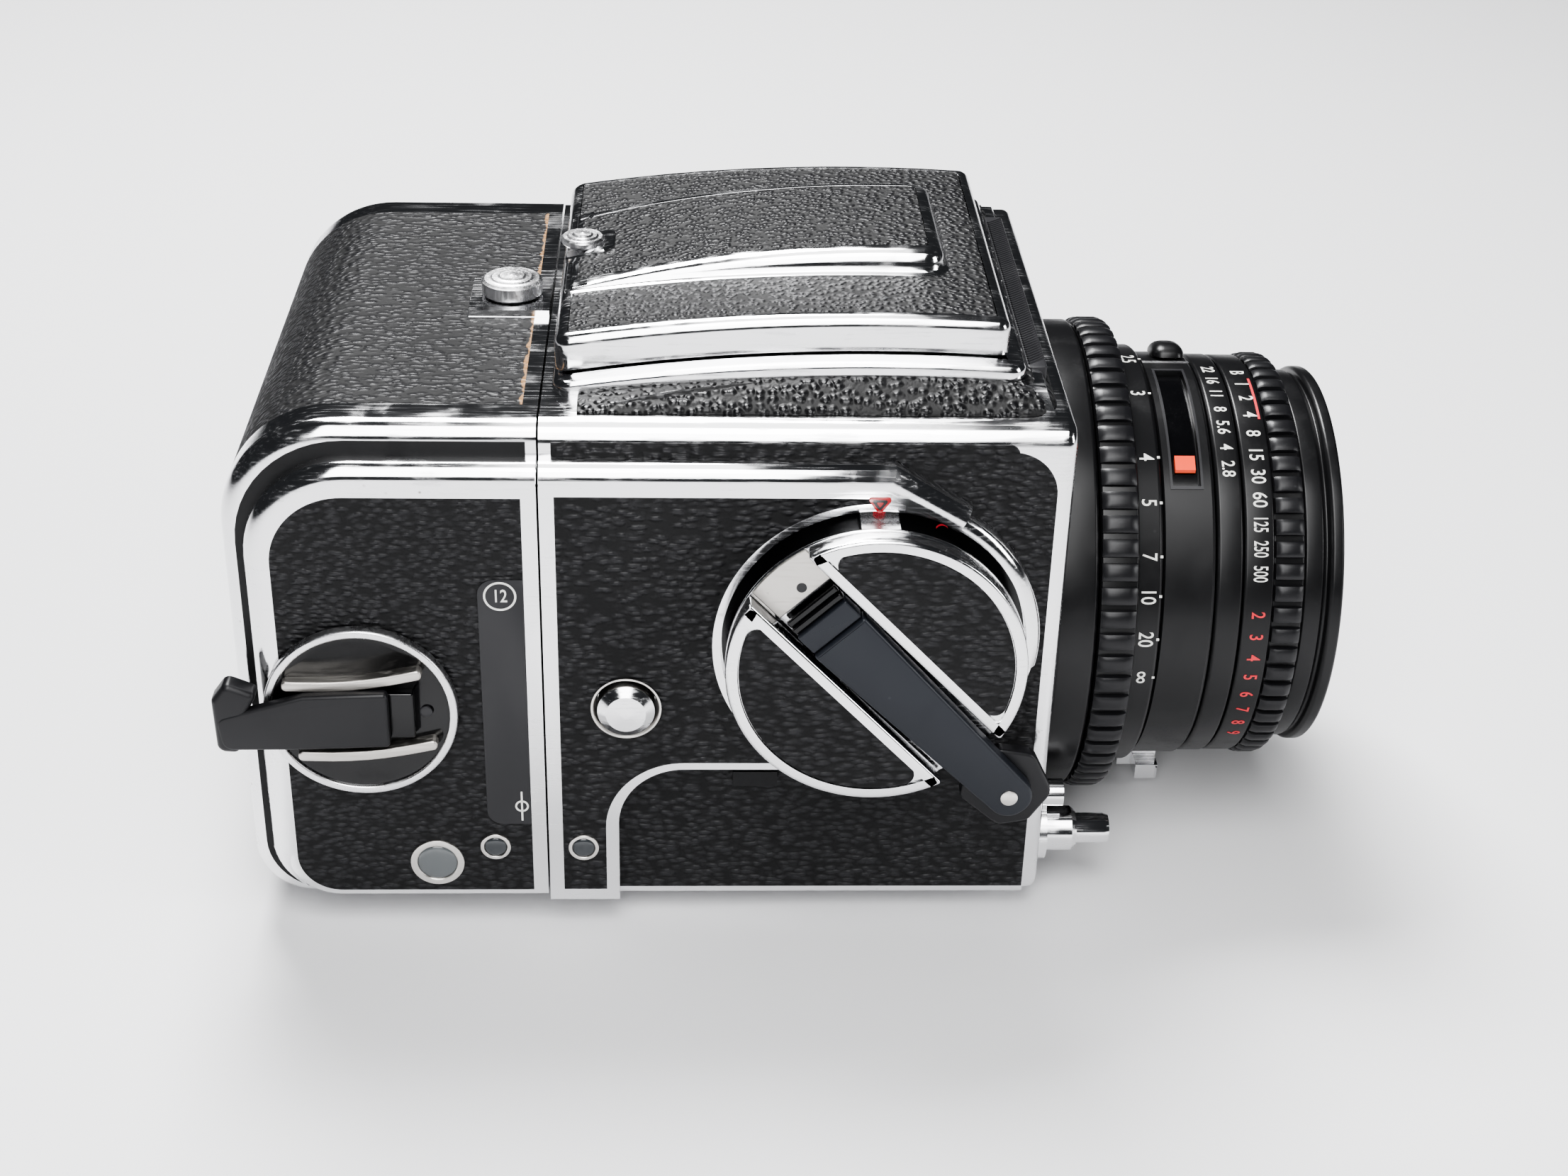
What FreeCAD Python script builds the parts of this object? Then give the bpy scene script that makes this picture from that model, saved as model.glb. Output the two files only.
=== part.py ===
import FreeCAD, Part
import math
import os
from types import SimpleNamespace

import Sketcher
from FreeCAD import Placement, Rotation, Vector

# A modular medium-format single-lens reflex camera: body, folding finder, film magazine and lens.
# The frame: +Z up, the lens looks along -Y, the winding crank is on the -X side, and the origin is
# the mouth of the tripod socket, in the foot's lower face.

doc = FreeCAD.newDocument("medium_format_camera")

# ---------------------------------------------------------------- driving sizes
# "forward" is measured from the joint between body and magazine, "height" from the body's bottom.
DRIVING = {
    "socket_to_joint": 38.5,
    "foot_rise": 3.5,
    "body_depth": 77.4,
    "body_half": 44.4,
    "body_height": 83.1,
    "frame_depth": 2.4,
    "joint_gap": 0.15,
    "shell_wall": 2.5,
    "rail_radius": 3.4,
    "cover_rise": 3.3,
    "cover_top": 76.9,
    "leather": 0.5,
    "magazine_depth": 46.1,
    "top_corner": 17.0,
    "low_corner": 9.0,
    "axis_height": 38.3,
    "crank_forward": 49.0,
    "crank_height": 48.8,
    "disc_radius": 22.3,
    "recess_radius": 22.7,
    "film_crank_back": 27.0,
    "film_crank_height": 37.8,
    "arch_forward": 49.0,
    "arch_drop": 201.3,
    "lid_arch": 296.0,
    "lid_half": 31.8,
    "base_half": 34.9,
    "gate_half": 28.0,
    "saddle_half": 40.6,
    "saddle_run": 6.2,
    "saddle_rise": 4.2,
    "socket_radius": 2.55,
    "running": 0.05,
}


class Size:
    """A length: its number, and the formula over the sheet's cells that gives it."""

    def __init__(self, number, formula=""):
        self.number = float(number)
        self.formula = formula or f"{self.number:.6f}"

    def __add__(self, other):
        other = as_size(other)
        return Size(self.number + other.number, f"({self.formula} + {other.formula})")

    def __sub__(self, other):
        other = as_size(other)
        return Size(self.number - other.number, f"({self.formula} - {other.formula})")

    def __mul__(self, factor):
        return Size(self.number * factor, f"({self.formula} * {factor})")

    def __rsub__(self, other):
        return as_size(other) - self

    def __neg__(self):
        return self * -1

    __radd__ = __add__
    __rmul__ = __mul__


def as_size(value):
    return value if isinstance(value, Size) else Size(value)


sheet = doc.addObject("Spreadsheet::Sheet", "sizes")
for row, (alias, number) in enumerate(DRIVING.items(), start=1):
    sheet.set(f"A{row}", alias)
    sheet.set(f"B{row}", str(number))
    sheet.setAlias(f"B{row}", alias)
doc.recompute()
d = SimpleNamespace(**{alias: Size(sheet.get(alias), "sizes." + alias) for alias in DRIVING})


def ahead(forward):
    """The Y of a place so far forward of the joint."""
    return d.socket_to_joint - forward


def ahead_span(low, high):
    return ahead(high), ahead(low)


def up(height):
    """The Z of a place so high above the body's bottom."""
    return d.foot_rise + height


def up_span(low, high):
    return up(low), up(high)


def both(half):
    """A span as wide on one side of the middle as on the other."""
    return -as_size(half), as_size(half)


def right(low, high):
    """The X span between two distances from the middle, on the crank's side."""
    return -as_size(high), -as_size(low)


# ---------------------------------------------------------------- helpers
ALONG = {
    "X": Rotation(Vector(0, 1, 0), 90),
    "Y": Rotation(Vector(1, 0, 0), -90),
    "Z": Rotation(),
}
FORWARD = Rotation(Vector(1, 0, 0), 90)
OUTWARD = Rotation(Vector(0, 1, 0), -90)
PIECES = {}


def bind(thing, **sizes):
    for name, size in sizes.items():
        thing.setExpression(name, as_size(size).formula)


def put(thing, x=0, y=0, z=0, turn=None):
    """Places a thing at a point that the sheet gives."""
    if turn is not None:
        thing.Placement = Placement(Vector(), turn)
    for letter, size in zip("xyz", (x, y, z)):
        thing.setExpression("Placement.Base." + letter, as_size(size).formula)
    return thing


def box(name, x, y, z):
    """A block between two places along each axis."""
    block = doc.addObject("Part::Box", name)
    spans = [(as_size(low), as_size(high)) for low, high in (x, y, z)]
    bind(block, **{side: high - low for side, (low, high) in zip(("Length", "Width", "Height"), spans)})
    return put(block, *(low for low, high in spans))


def rod(name, radius, axis, span, x=0, y=0, z=0):
    """A round bar along one axis, between two places on it."""
    bar = doc.addObject("Part::Cylinder", name)
    bind(bar, Radius=radius, Height=as_size(span[1]) - span[0])
    start = {"x": x, "y": y, "z": z, axis.lower(): span[0]}
    return put(bar, turn=ALONG[axis], **start)


def cut(name, base, *tools):
    result = doc.addObject("Part::Cut", name)
    result.Base = base
    result.Tool = tools[0] if len(tools) == 1 else fuse(name + "_tools", *tools)
    return result


def fuse(name, *parts):
    result = doc.addObject("Part::MultiFuse", name)
    result.Shapes = list(parts)
    return result


def common(name, *parts):
    result = doc.addObject("Part::MultiCommon", name)
    result.Shapes = list(parts)
    return result


def group(name, *parts):
    """Separate solids that share one node."""
    result = doc.addObject("Part::Compound", name)
    result.Links = list(parts)
    return result


def edges_where(shape, test):
    return [index for index, edge in enumerate(shape.Edges, start=1) if test(edge)]


def rounded(name, base, radius, test):
    """Rounds the edges of a shape that pass a test."""
    doc.recompute()
    result = doc.addObject("Part::Fillet", name)
    result.Base = base
    result.Edges = [(index, radius, radius) for index in edges_where(base.Shape, test)]
    return result


def straight_along(axis):
    """A test for straight edges along an axis."""
    def test(edge):
        ends = [vertex.Point for vertex in edge.Vertexes]
        if len(ends) != 2:
            return False
        step = ends[1] - ends[0]
        return abs(abs(getattr(step, axis.lower())) - edge.Length) < 1e-4
    return test


def near(axis, place):
    """A test for edges that lie at one place along an axis."""
    place = as_size(place).number

    def test(edge):
        bounds = edge.BoundBox
        low, high = getattr(bounds, axis + "Min"), getattr(bounds, axis + "Max")
        return abs(low - place) < 1e-3 and abs(high - place) < 1e-3
    return test


def sketch_on(body, role, points):
    """A closed outline of straight lines on one of a body's own planes, each corner sized."""
    sketch = body.newObject("Sketcher::SketchObject", body.Name + "_outline")
    plane = next(item for item in body.Origin.OriginFeatures if item.Role == role)
    sketch.AttachmentSupport = (plane, [""])
    sketch.MapMode = "FlatFace"
    corners = [(as_size(across), as_size(along)) for across, along in points]
    count = len(corners)
    places = [Vector(across.number, along.number, 0) for across, along in corners]
    sketch.addGeometry([Part.LineSegment(places[i], places[(i + 1) % count]) for i in range(count)], False)
    sketch.addConstraint([Sketcher.Constraint("Coincident", i, 2, (i + 1) % count, 1) for i in range(count)])
    for i, corner in enumerate(corners):
        for kind, size in zip(("DistanceX", "DistanceY"), corner):
            index = sketch.addConstraint(Sketcher.Constraint(kind, -1, 1, i, 1, size.number))
            sketch.setExpression(f"Constraints[{index}]", size.formula)
    return sketch


def turned(name, profile, x=0, y=0, z=0, turn=FORWARD):
    """A turned piece: an outline of (radius, height) corners, revolved about the piece's own Z axis."""
    body = doc.addObject("PartDesign::Body", name)
    sketch = sketch_on(body, "XZ_Plane", profile)
    spin = body.newObject("PartDesign::Revolution", name + "_spin")
    spin.Profile = sketch
    spin.ReferenceAxis = (sketch, ["V_Axis"])
    spin.Angle = 360
    return put(body, x, y, z, turn)


def plate(name, outline, thickness, x=0, y=0, z=0, turn=ALONG["Z"]):
    """A flat piece: an outline of (x, y) corners, padded along the piece's own Z axis."""
    body = doc.addObject("PartDesign::Body", name)
    sketch = sketch_on(body, "XY_Plane", outline)
    pad = body.newObject("PartDesign::Pad", name + "_pad")
    pad.Profile = sketch
    bind(pad, Length=thickness)
    return put(body, x, y, z, turn)


def piece(node, thing):
    """Gives a finished sub-part the label that names its file."""
    thing.Label = node
    PIECES[node] = thing
    return thing


def lens_place(forward):
    """The placement sizes of a turned lens piece whose own Z runs forward from here."""
    return {"y": ahead(forward), "z": up(d.axis_height)}


def on_barrel(radius, degrees):
    """X and Z of a point on the lens barrel, the angle counted from the top towards the crank's side."""
    angle = math.radians(degrees)
    return -radius * math.sin(angle), up(d.axis_height) + radius * math.cos(angle)


def arch(name, radius, half):
    """The long cylinder across the camera that gives the finder its arched tops."""
    return rod(name, radius, "X", both(half), y=ahead(d.arch_forward), z=up(-d.arch_drop))


# ---------------------------------------------------------------- body
FRAME_BACK = d.body_depth - d.frame_depth
CRANK_Y = ahead(d.crank_forward)
CRANK_Z = up(d.crank_height)
COVER_FACE = d.body_half + d.cover_rise
RELEASE_X = -36.5
RELEASE_Z = up(7.5)
BUTTON_FORWARD = 12.3
BUTTON_Z = up(37.8)
SADDLE_ARCH = d.lid_arch - 8.0
SADDLE_FOOT = d.body_height - 0.5
SHOULDER_WIDTH = 7.6
BASE_ARCH = d.lid_arch - 5.8
WELL = dict(x=both(28.9), y=ahead_span(8, 64))


def cover_outline(name, low, high, inset):
    """The raised side cover's outline as a solid between two distances from the middle."""
    rear = d.joint_gap + inset * 1.1
    roof = d.cover_top - inset * 1.7
    step = 26.6 + inset * 0.6
    waist = 11.0 - inset * 1.0
    upper = box(name + "_upper", right(low, high), ahead_span(rear, d.crank_forward), (up(step), up(roof)))
    lower = box(name + "_lower", right(low, high), ahead_span(rear, waist), (up(1.9 + inset), up(step + 1)))
    bend = 10.0 + inset
    corner = box(name + "_corner", right(low, high), ahead_span(waist - 1, waist + bend),
                 (up(step - bend), up(step + 1)))
    scoop = rod(name + "_scoop", bend, "X", right(low - 1, high + 1), y=ahead(waist + bend),
                z=up(step - bend))
    bent = cut(name + "_bent", corner, scoop)
    return [upper, lower, bent]


def make_right_cover():
    """The raised cover on the crank's side, with its round bezel and the slanted rail to it."""
    solids = cover_outline("cover", d.body_half, COVER_FACE, 0)
    hood = rod("cover_hood", d.recess_radius + 2.3, "X", right(d.body_half, COVER_FACE), y=CRANK_Y,
               z=CRANK_Z)
    hood_top = box("cover_hood_top", right(d.body_half, COVER_FACE),
                   ahead_span(d.crank_forward - 1, 76), (up(d.crank_height - 4), up(d.cover_top)))
    hood = common("cover_hood_part", hood, hood_top)
    slant = doc.addObject("Part::Box", "cover_slant")
    bind(slant, Length=d.cover_rise, Width=30, Height=20)
    slant_frame = group("cover_slant_turned", put(slant, 0, 0, 5))
    tilt = Rotation(Vector(1, 0, 0), 31)
    put(slant_frame, -COVER_FACE, CRANK_Y, CRANK_Z, tilt)
    slant_part = common("cover_slant_part", slant_frame, hood_top)
    seat = rod("cover_seat", d.disc_radius - 0.5, "X", right(d.body_half, COVER_FACE), y=CRANK_Y, z=CRANK_Z)
    blank = fuse("cover_blank", *solids, hood, slant_part)
    recess = rod("cover_recess", d.recess_radius, "X", right(d.body_half + 1.2, COVER_FACE + 3), y=CRANK_Y,
                 z=CRANK_Z)
    shaft_hole = rod("cover_shaft_hole", 4 + d.running, "X", right(d.body_half - 1, COVER_FACE), y=CRANK_Y,
                     z=CRANK_Z)
    well = rod("button_well", 5.2, "X", right(d.body_half - 1, COVER_FACE + 1), y=ahead(BUTTON_FORWARD),
               z=BUTTON_Z)
    leather_pocket = cut("cover_leather_pocket",
                         *leather_blank("pocket", COVER_FACE - d.leather, COVER_FACE + 1))
    rim = rounded("cover_rimmed", blank, 2.2, cover_rail_edge)
    piece("right_cover", cut("right_cover", fuse("cover_seated", rim, seat), recess, shaft_hole, well,
                             leather_pocket))


def cover_rail_edge(edge):
    """The cover's outer edge along its top, down the slant and round the crank."""
    bounds = edge.BoundBox
    top, front = up(d.cover_top).number, CRANK_Y.number
    along_top = straight_along("Y")(edge) and near("Z", up(d.cover_top))(edge)
    above_crank = bounds.ZMin > up(d.crank_height - 4.1).number
    slanted = bounds.YMax < front + 0.1 and above_crank and bounds.ZMax < top + 0.1
    return near("X", -COVER_FACE)(edge) and (along_top or (slanted and not flat_at_low(edge)))


def flat_at_low(edge):
    """True for the straight edge where the hood ends."""
    bounds = edge.BoundBox
    return abs(bounds.ZMax - bounds.ZMin) < 1e-3 and bounds.ZMin < up(d.crank_height).number


def front_top_corner(edge):
    """The corner of a side's leather that is nearest to the lens and the finder."""
    return (straight_along("X")(edge) and near("Y", ahead(FRAME_BACK - 0.1))(edge)
            and near("Z", up(79.4))(edge))


def leather_blank(name, low, high):
    """The cover leather's outline, and the tools that trim it."""
    sheets = cover_outline(name, low, high, 2.0)
    blank = fuse(name + "_sheet", *sheets)
    round_cut = rod(name + "_round", d.recess_radius + 1.2, "X", right(low - 1, high + 1), y=CRANK_Y,
                    z=CRANK_Z)
    return blank, round_cut


def make_leathers():
    """The leather panels at the body's sides: base level, raised cover and far side."""
    sharp = box("slot_field", right(d.body_half - d.leather, d.body_half), ahead_span(2.6, FRAME_BACK - 0.1),
                (up(1.9), up(79.4)))
    top = rounded("slot_field_round", sharp, 7.0, front_top_corner)
    cover_hole = fuse("slot_cover", *cover_outline("slot_hole", d.body_half - 1, COVER_FACE, 0),
                      rod("slot_disc", d.recess_radius + 2.3, "X", right(d.body_half - 1, COVER_FACE),
                          y=CRANK_Y, z=CRANK_Z))
    front = cut("base_leather", top, cover_hole)
    blank, round_cut = leather_blank("cover_sheet", COVER_FACE - d.leather, COVER_FACE - 0.05)
    holes = [
        rod("sheet_well", 5.2, "X", right(40, 60), y=ahead(BUTTON_FORWARD), z=BUTTON_Z),
        rod("sheet_window", 2.35, "X", right(40, 60), y=ahead(5.5), z=up(12)),
    ]
    cover_sheet = cut("cover_leather", blank, round_cut, *holes)
    left = rounded("left_leather", box("left_field", (d.body_half - d.leather, d.body_half),
                                       ahead_span(2.6, FRAME_BACK - 0.1), (up(1.9), up(79.4))),
                   7.0, front_top_corner)
    return front, cover_sheet, left


def make_saddle():
    """The low hump under the finder, which rises towards the lens."""
    hump = doc.addObject("Part::Wedge", "saddle_wedge")
    bind(hump, Xmin=0, Xmax=d.saddle_half * 2, Zmin=0, Zmax=72.5, Ymin=0, Ymax=d.saddle_rise,
         X2min=d.saddle_run, X2max=d.saddle_half * 2 - d.saddle_run, Z2min=3.0, Z2max=70.5)
    put(hump, -d.saddle_half, ahead(2.2), up(SADDLE_FOOT), Rotation(Vector(1, 0, 0), 90))
    return common("saddle", hump, arch("saddle_arch", SADDLE_ARCH, 50))


def make_body_shell(base_sheet, left_sheet):
    outer = box("shell_block", both(d.body_half), ahead_span(d.joint_gap, FRAME_BACK),
                up_span(0, d.body_height))

    def top_side(edge):
        return straight_along("Y")(edge) and near("Z", up(d.body_height))(edge)

    def low_side(edge):
        return straight_along("Y")(edge) and near("Z", up(0))(edge)

    railed = rounded("shell_railed", outer, d.rail_radius.number, top_side)
    railed = rounded("shell_rounded", railed, 1.8, low_side)
    whole = fuse("shell_whole", railed, make_saddle())
    hollow = box("shell_hollow", both(d.body_half - d.shell_wall),
                 ahead_span(d.shell_wall, FRAME_BACK - d.shell_wall),
                 up_span(d.shell_wall, d.body_height - d.shell_wall))
    openings = [
        box("shell_well", WELL["x"], WELL["y"], up_span(70, 95)),
        box("shell_gate", both(d.gate_half), ahead_span(-1, 4), up_span(10.3, 66.3)),
        rod("shell_throat", 36.45, "Y", ahead_span(70, 80), z=up(d.axis_height)),
        rod("shell_shaft", 4 + d.running, "X", right(40, 50), y=CRANK_Y, z=CRANK_Z),
        rod("shell_button", 2.6, "X", right(40, 50), y=ahead(BUTTON_FORWARD), z=BUTTON_Z),
        rod("shell_release", 2.6, "Y", ahead_span(70, 80), x=RELEASE_X, z=RELEASE_Z),
        rod("shell_bush", 8.05, "Z", (0, up(4)), y=0),
    ]
    post = rod("gear_post", 1.5, "X", right(33.2, d.body_half - 1), y=ahead(d.crank_forward - 20), z=CRANK_Z)
    body = cut("shell_open", whole, hollow, *openings, base_sheet, left_sheet)
    piece("body_shell", fuse("body_shell", body, post))


def make_front():
    """The front frame, its leather and the lens mount."""
    block = box("front_block", both(d.body_half), ahead_span(FRAME_BACK, d.body_depth),
                up_span(0, d.body_height))
    corners = rounded("front_corners", block, d.rail_radius.number, straight_along("Y"))
    softened = rounded("front_soft", corners, 1.6, near("Y", ahead(d.body_depth)))
    throat = rod("front_throat", 36.45, "Y", ahead_span(70, 80), z=up(d.axis_height))
    release = rod("front_release", 3.65, "Y", ahead_span(70, 80), x=RELEASE_X, z=RELEASE_Z)
    sheet_blank = box("front_sheet_blank", both(39.5), ahead_span(d.body_depth - d.leather, d.body_depth),
                      up_span(4, 79))
    lens_room = rod("front_lens_room", 39.3, "Y", ahead_span(70, 80), z=up(d.axis_height))
    release_room = rod("front_release_room", 9.0, "Y", ahead_span(70, 80), x=RELEASE_X, z=RELEASE_Z)
    front_sheet = cut("front_leather", sheet_blank, lens_room, release_room)
    piece("front_frame", cut("front_frame", softened, throat, release, front_sheet))
    mount = cut("lens_mount",
                rod("mount_outer", 36.4, "Y", ahead_span(72.6, 77.3), z=up(d.axis_height)),
                rod("mount_bore", 31.0, "Y", ahead_span(72, 78), z=up(d.axis_height)))
    piece("lens_mount", mount)
    return front_sheet


def make_shoulders():
    """Leather on the saddle's two sloping flanks."""
    fall = math.degrees(math.atan2(d.saddle_rise.number, d.saddle_run.number))
    slabs = []
    for side, name in ((1, "left"), (-1, "right")):
        slab = doc.addObject("Part::Box", f"shoulder_{name}")
        bind(slab, Length=SHOULDER_WIDTH, Width=66.0, Height=0.35)
        put(slab, 0 if side > 0 else -SHOULDER_WIDTH, 0, 0)
        tilted = group(f"shoulder_{name}_tilted", slab)
        put(tilted, side * (d.saddle_half - d.saddle_run), ahead(71.5), up(SADDLE_FOOT + d.saddle_rise),
            Rotation(Vector(0, 1, 0), side * fall))
        slabs.append(tilted)
    keep = cut("shoulder_keep", box("shoulder_limits", both(40.7), ahead_span(5, 71.5), up_span(83.15, 92)),
               box("shoulder_base_room", both(d.base_half + 0.05), ahead_span(1, 75), up_span(80, 95)))
    above = arch("shoulder_arch", SADDLE_ARCH, 50)
    return [common(f"shoulder_{index}", slab, keep, above) for index, slab in enumerate(slabs)]


def make_mirror_box():
    outer = box("box_outer", both(31), ahead_span(2.6, 72.4), up_span(7, 79))
    inner = box("box_inner", both(29.8), ahead_span(2, 73), up_span(8.2, 80))
    pins = [
        rod("box_mirror_pivot", 1.0 + d.running, "X", both(32), y=ahead(9), z=up(68.5)),
        rod("box_upper_pivot", 0.7 + d.running, "X", both(32), y=ahead(3.8), z=up(65.5)),
        rod("box_lower_pivot", 0.7 + d.running, "X", both(32), y=ahead(3.8), z=up(11)),
        rod("box_throat", 31.5, "Y", ahead_span(69, 80), z=up(d.axis_height)),
    ]
    piece("mirror_box", cut("mirror_box", outer, inner, *pins))
    frame_block = box("screen_block", both(31), ahead_span(5, 68), up_span(79, 80.5))
    frame_hole = box("screen_hole", both(27), ahead_span(10, 62), up_span(78, 82))
    piece("screen_frame", cut("screen_frame", frame_block, frame_hole))
    piece("focusing_screen", box("focusing_screen", both(28.6), ahead_span(8.4, 63.6), up_span(80.5, 81.8)))


def make_mirror():
    """The mirror on its carrier, pivoted at its top rear edge, with the two light doors behind it."""
    tilt = Rotation(Vector(1, 0, 0), 45)
    leaf = [(-26, -59), (26, -59), (26, -1.4), (-26, -1.4)]
    ears = box("mirror_ears", both(26), (-2.5, 1.0), (-1.0, 1.0))
    back = box("mirror_back", both(26), (-59, -1.4), (-1.6, -0.4))
    pivot = rod("mirror_pivot", 1.0, "X", both(30.8))
    carrier = fuse("mirror_carrier", ears, back, pivot)
    piece("mirror_carrier", put(carrier, 0, ahead(9), up(68.5), tilt))
    glass = [(x, y - 1.6 if y > -30 else y) for x, y in leaf]
    piece("mirror_glass", put_glass(glass, tilt))
    for name, height, low, high in (("upper_door", 65.5, -26.6, 0), ("lower_door", 11, 0, 27.0)):
        leaf_box = box(name + "_leaf", both(27.5), (-0.4, 0.4), (low, high))
        pin = rod(name + "_pin", 0.7, "X", both(30.6))
        piece(name, put(fuse(name, leaf_box, pin), 0, ahead(3.8), up(height), Rotation()))


def put_glass(outline, tilt):
    thickness = 1.4
    glass = plate("mirror_glass", outline, thickness)
    lifted = group("mirror_glass_lifted", put(glass, 0, 0, -0.4))
    return put(lifted, 0, ahead(9), up(68.5), tilt)


# ---------------------------------------------------------------- gears
def gear_face(teeth, module, turn=0.0):
    """A spur gear's outline with straight-sided teeth, as a face in the piece's own XY plane."""
    pitch_radius = teeth * module / 2
    tip, root = pitch_radius + 0.8 * module, pitch_radius - 1.1 * module
    step = 2 * math.pi / teeth
    corners = []
    for tooth in range(teeth):
        middle = math.radians(turn) + tooth * step
        for radius, share in ((root, -0.29), (tip, -0.13), (tip, 0.13), (root, 0.29)):
            angle = middle + share * step
            corners.append(Vector(radius * math.cos(angle), radius * math.sin(angle), 0))
    return Part.Face(Part.makePolygon(corners + corners[:1]))


def gear(name, teeth, module, turn, width):
    """A gear blank whose teeth come from a formula."""
    wheel = doc.addObject("Part::Feature", name)
    wheel.Shape = gear_face(teeth, module, turn).extrude(Vector(0, 0, width))
    return wheel


def make_winding():
    """The winding shaft with its gear, and the gear that it drives."""
    teeth = gear("wind_teeth", 24, 1.0, 0, 3)
    put(teeth, 0, 0, 34.0)
    shaft = rod("wind_bar", 4.0, "Z", (33.5, 45.9))
    whole = fuse("wind_shaft", teeth, shaft)
    piece("wind_shaft", put(whole, 0, CRANK_Y, CRANK_Z, OUTWARD_UP))
    small = gear("drive_teeth", 16, 1.0, 360 / 32, 3)
    put(small, 0, 0, 34.0)
    bore = rod("drive_bore", 1.5 + d.running, "Z", (30, 40))
    driven = cut("drive_gear", small, bore)
    piece("drive_gear", put(driven, 0, ahead(d.crank_forward - 20), CRANK_Z, OUTWARD_UP))


# Own X to the rear or front along Y, own Z outward on the crank's side.
OUTWARD_UP = Rotation(Vector(0, 1, 0), Vector(0, 0, -1), Vector(-1, 0, 0), "ZXY")
SLOT_ANGLE = 46.5
SLOT_SIN = math.sin(math.radians(SLOT_ANGLE))
SLOT_COS = math.cos(math.radians(SLOT_ANGLE))
# The crank's own frame: X along the slot to the grip, Y across it, Z outward.
SLOT_TURN = Rotation(Vector(0, -SLOT_COS, -SLOT_SIN), Vector(0, -SLOT_SIN, SLOT_COS), Vector(-1, 0, 0), "ZXY")
DISC_FACE = 54.9
DISC_BACK = 51.0
SLOT_FLOOR = 51.9
HINGE_OUT = 13.5
HINGE_LEVEL = 53.9


def crank_half(name, side):
    """One D-shaped field of the crank disc."""
    disc = rod(f"{name}_disc", d.disc_radius - 1.9, "Z", (DISC_FACE - 0.6, DISC_FACE))
    span = (7.0, 30) if side > 0 else (-30, -7.0)
    half = box(f"{name}_half", (-30, 30), span, (DISC_FACE - 2, DISC_FACE + 2))
    field = common(f"{name}_field", disc, half)
    return rounded(f"{name}_soft", field, 2.0, straight_along("Z"))


def make_crank():
    pockets = [crank_half("pocket_up", 1), crank_half("pocket_down", -1)]
    disc = fuse("disc_solid", rod("disc_plate", d.disc_radius, "Z", (DISC_BACK, DISC_FACE)),
                rod("disc_drum", 18, "Z", (45.9, DISC_BACK + 0.5)))
    rim_edge = rounded("disc_rimmed", disc, 0.9, near("Z", DISC_FACE))
    slot = box("disc_slot", (-25, 25), both(5.3), (SLOT_FLOOR, DISC_FACE + 1))
    web = common("disc_web", box("web_block", (-30, -15.2), both(5.3), (SLOT_FLOOR - 0.5, SLOT_FLOOR + 0.4)),
                 rod("web_limit", d.disc_radius - 0.3, "Z", (DISC_BACK, DISC_FACE)))
    open_disc = fuse("disc_webbed", cut("disc_open", rim_edge, slot, *pockets), web)
    pin = rod("disc_pin", 0.8, "Y", both(6.3), x=-HINGE_OUT, z=HINGE_LEVEL)
    place = dict(y=CRANK_Y, z=CRANK_Z, turn=SLOT_TURN)
    piece("crank_disc", put(fuse("crank_disc", open_disc, pin), **place))
    insets = group("crank_insets", crank_half("inset_up", 1), crank_half("inset_down", -1))
    piece("crank_insets", put(insets, **place))
    outline = [(-HINGE_OUT - 0.8, -4.6), (-HINGE_OUT + 10, -4.6), (30.3, -3.4), (30.3, 3.4),
               (-HINGE_OUT + 10, 4.6), (-HINGE_OUT - 0.8, 4.6)]
    arm = plate("lever_arm", outline, 2.5, z=52.9)
    tip = rod("lever_tip", 3.4, "Z", (52.9, 55.4), x=30.3)
    bore = rod("lever_bore", 0.8 + d.running, "Y", both(8), x=-HINGE_OUT, z=HINGE_LEVEL)
    rivet_hole = rod("lever_rivet_hole", 1.2 + d.running, "Z", (50, 60), x=30.3)
    lever = cut("crank_lever", fuse("lever_whole", arm, tip), bore, rivet_hole)
    piece("crank_lever", put(lever, **place))
    grip_outline = [(-3.4, -6.4), (4.6, -5.4), (7.0, -1.5), (5.4, 4.6), (-2.0, 6.8), (-6.4, 3.2),
                    (-6.6, -2.6)]
    pad = plate("grip_pad", [(30.3 + u, w) for u, w in grip_outline], 2.4, z=50.4)
    rivet = rod("grip_rivet", 1.2, "Z", (50.5, 55.7), x=30.3)
    piece("crank_grip", put(fuse("crank_grip", pad, rivet), **place))
    tab = box("crank_catch", right(45.9, 50.6), ahead_span(46.2, 51.8), (CRANK_Z + 18.6, CRANK_Z + 21.4))
    piece("crank_catch", tab)


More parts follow.
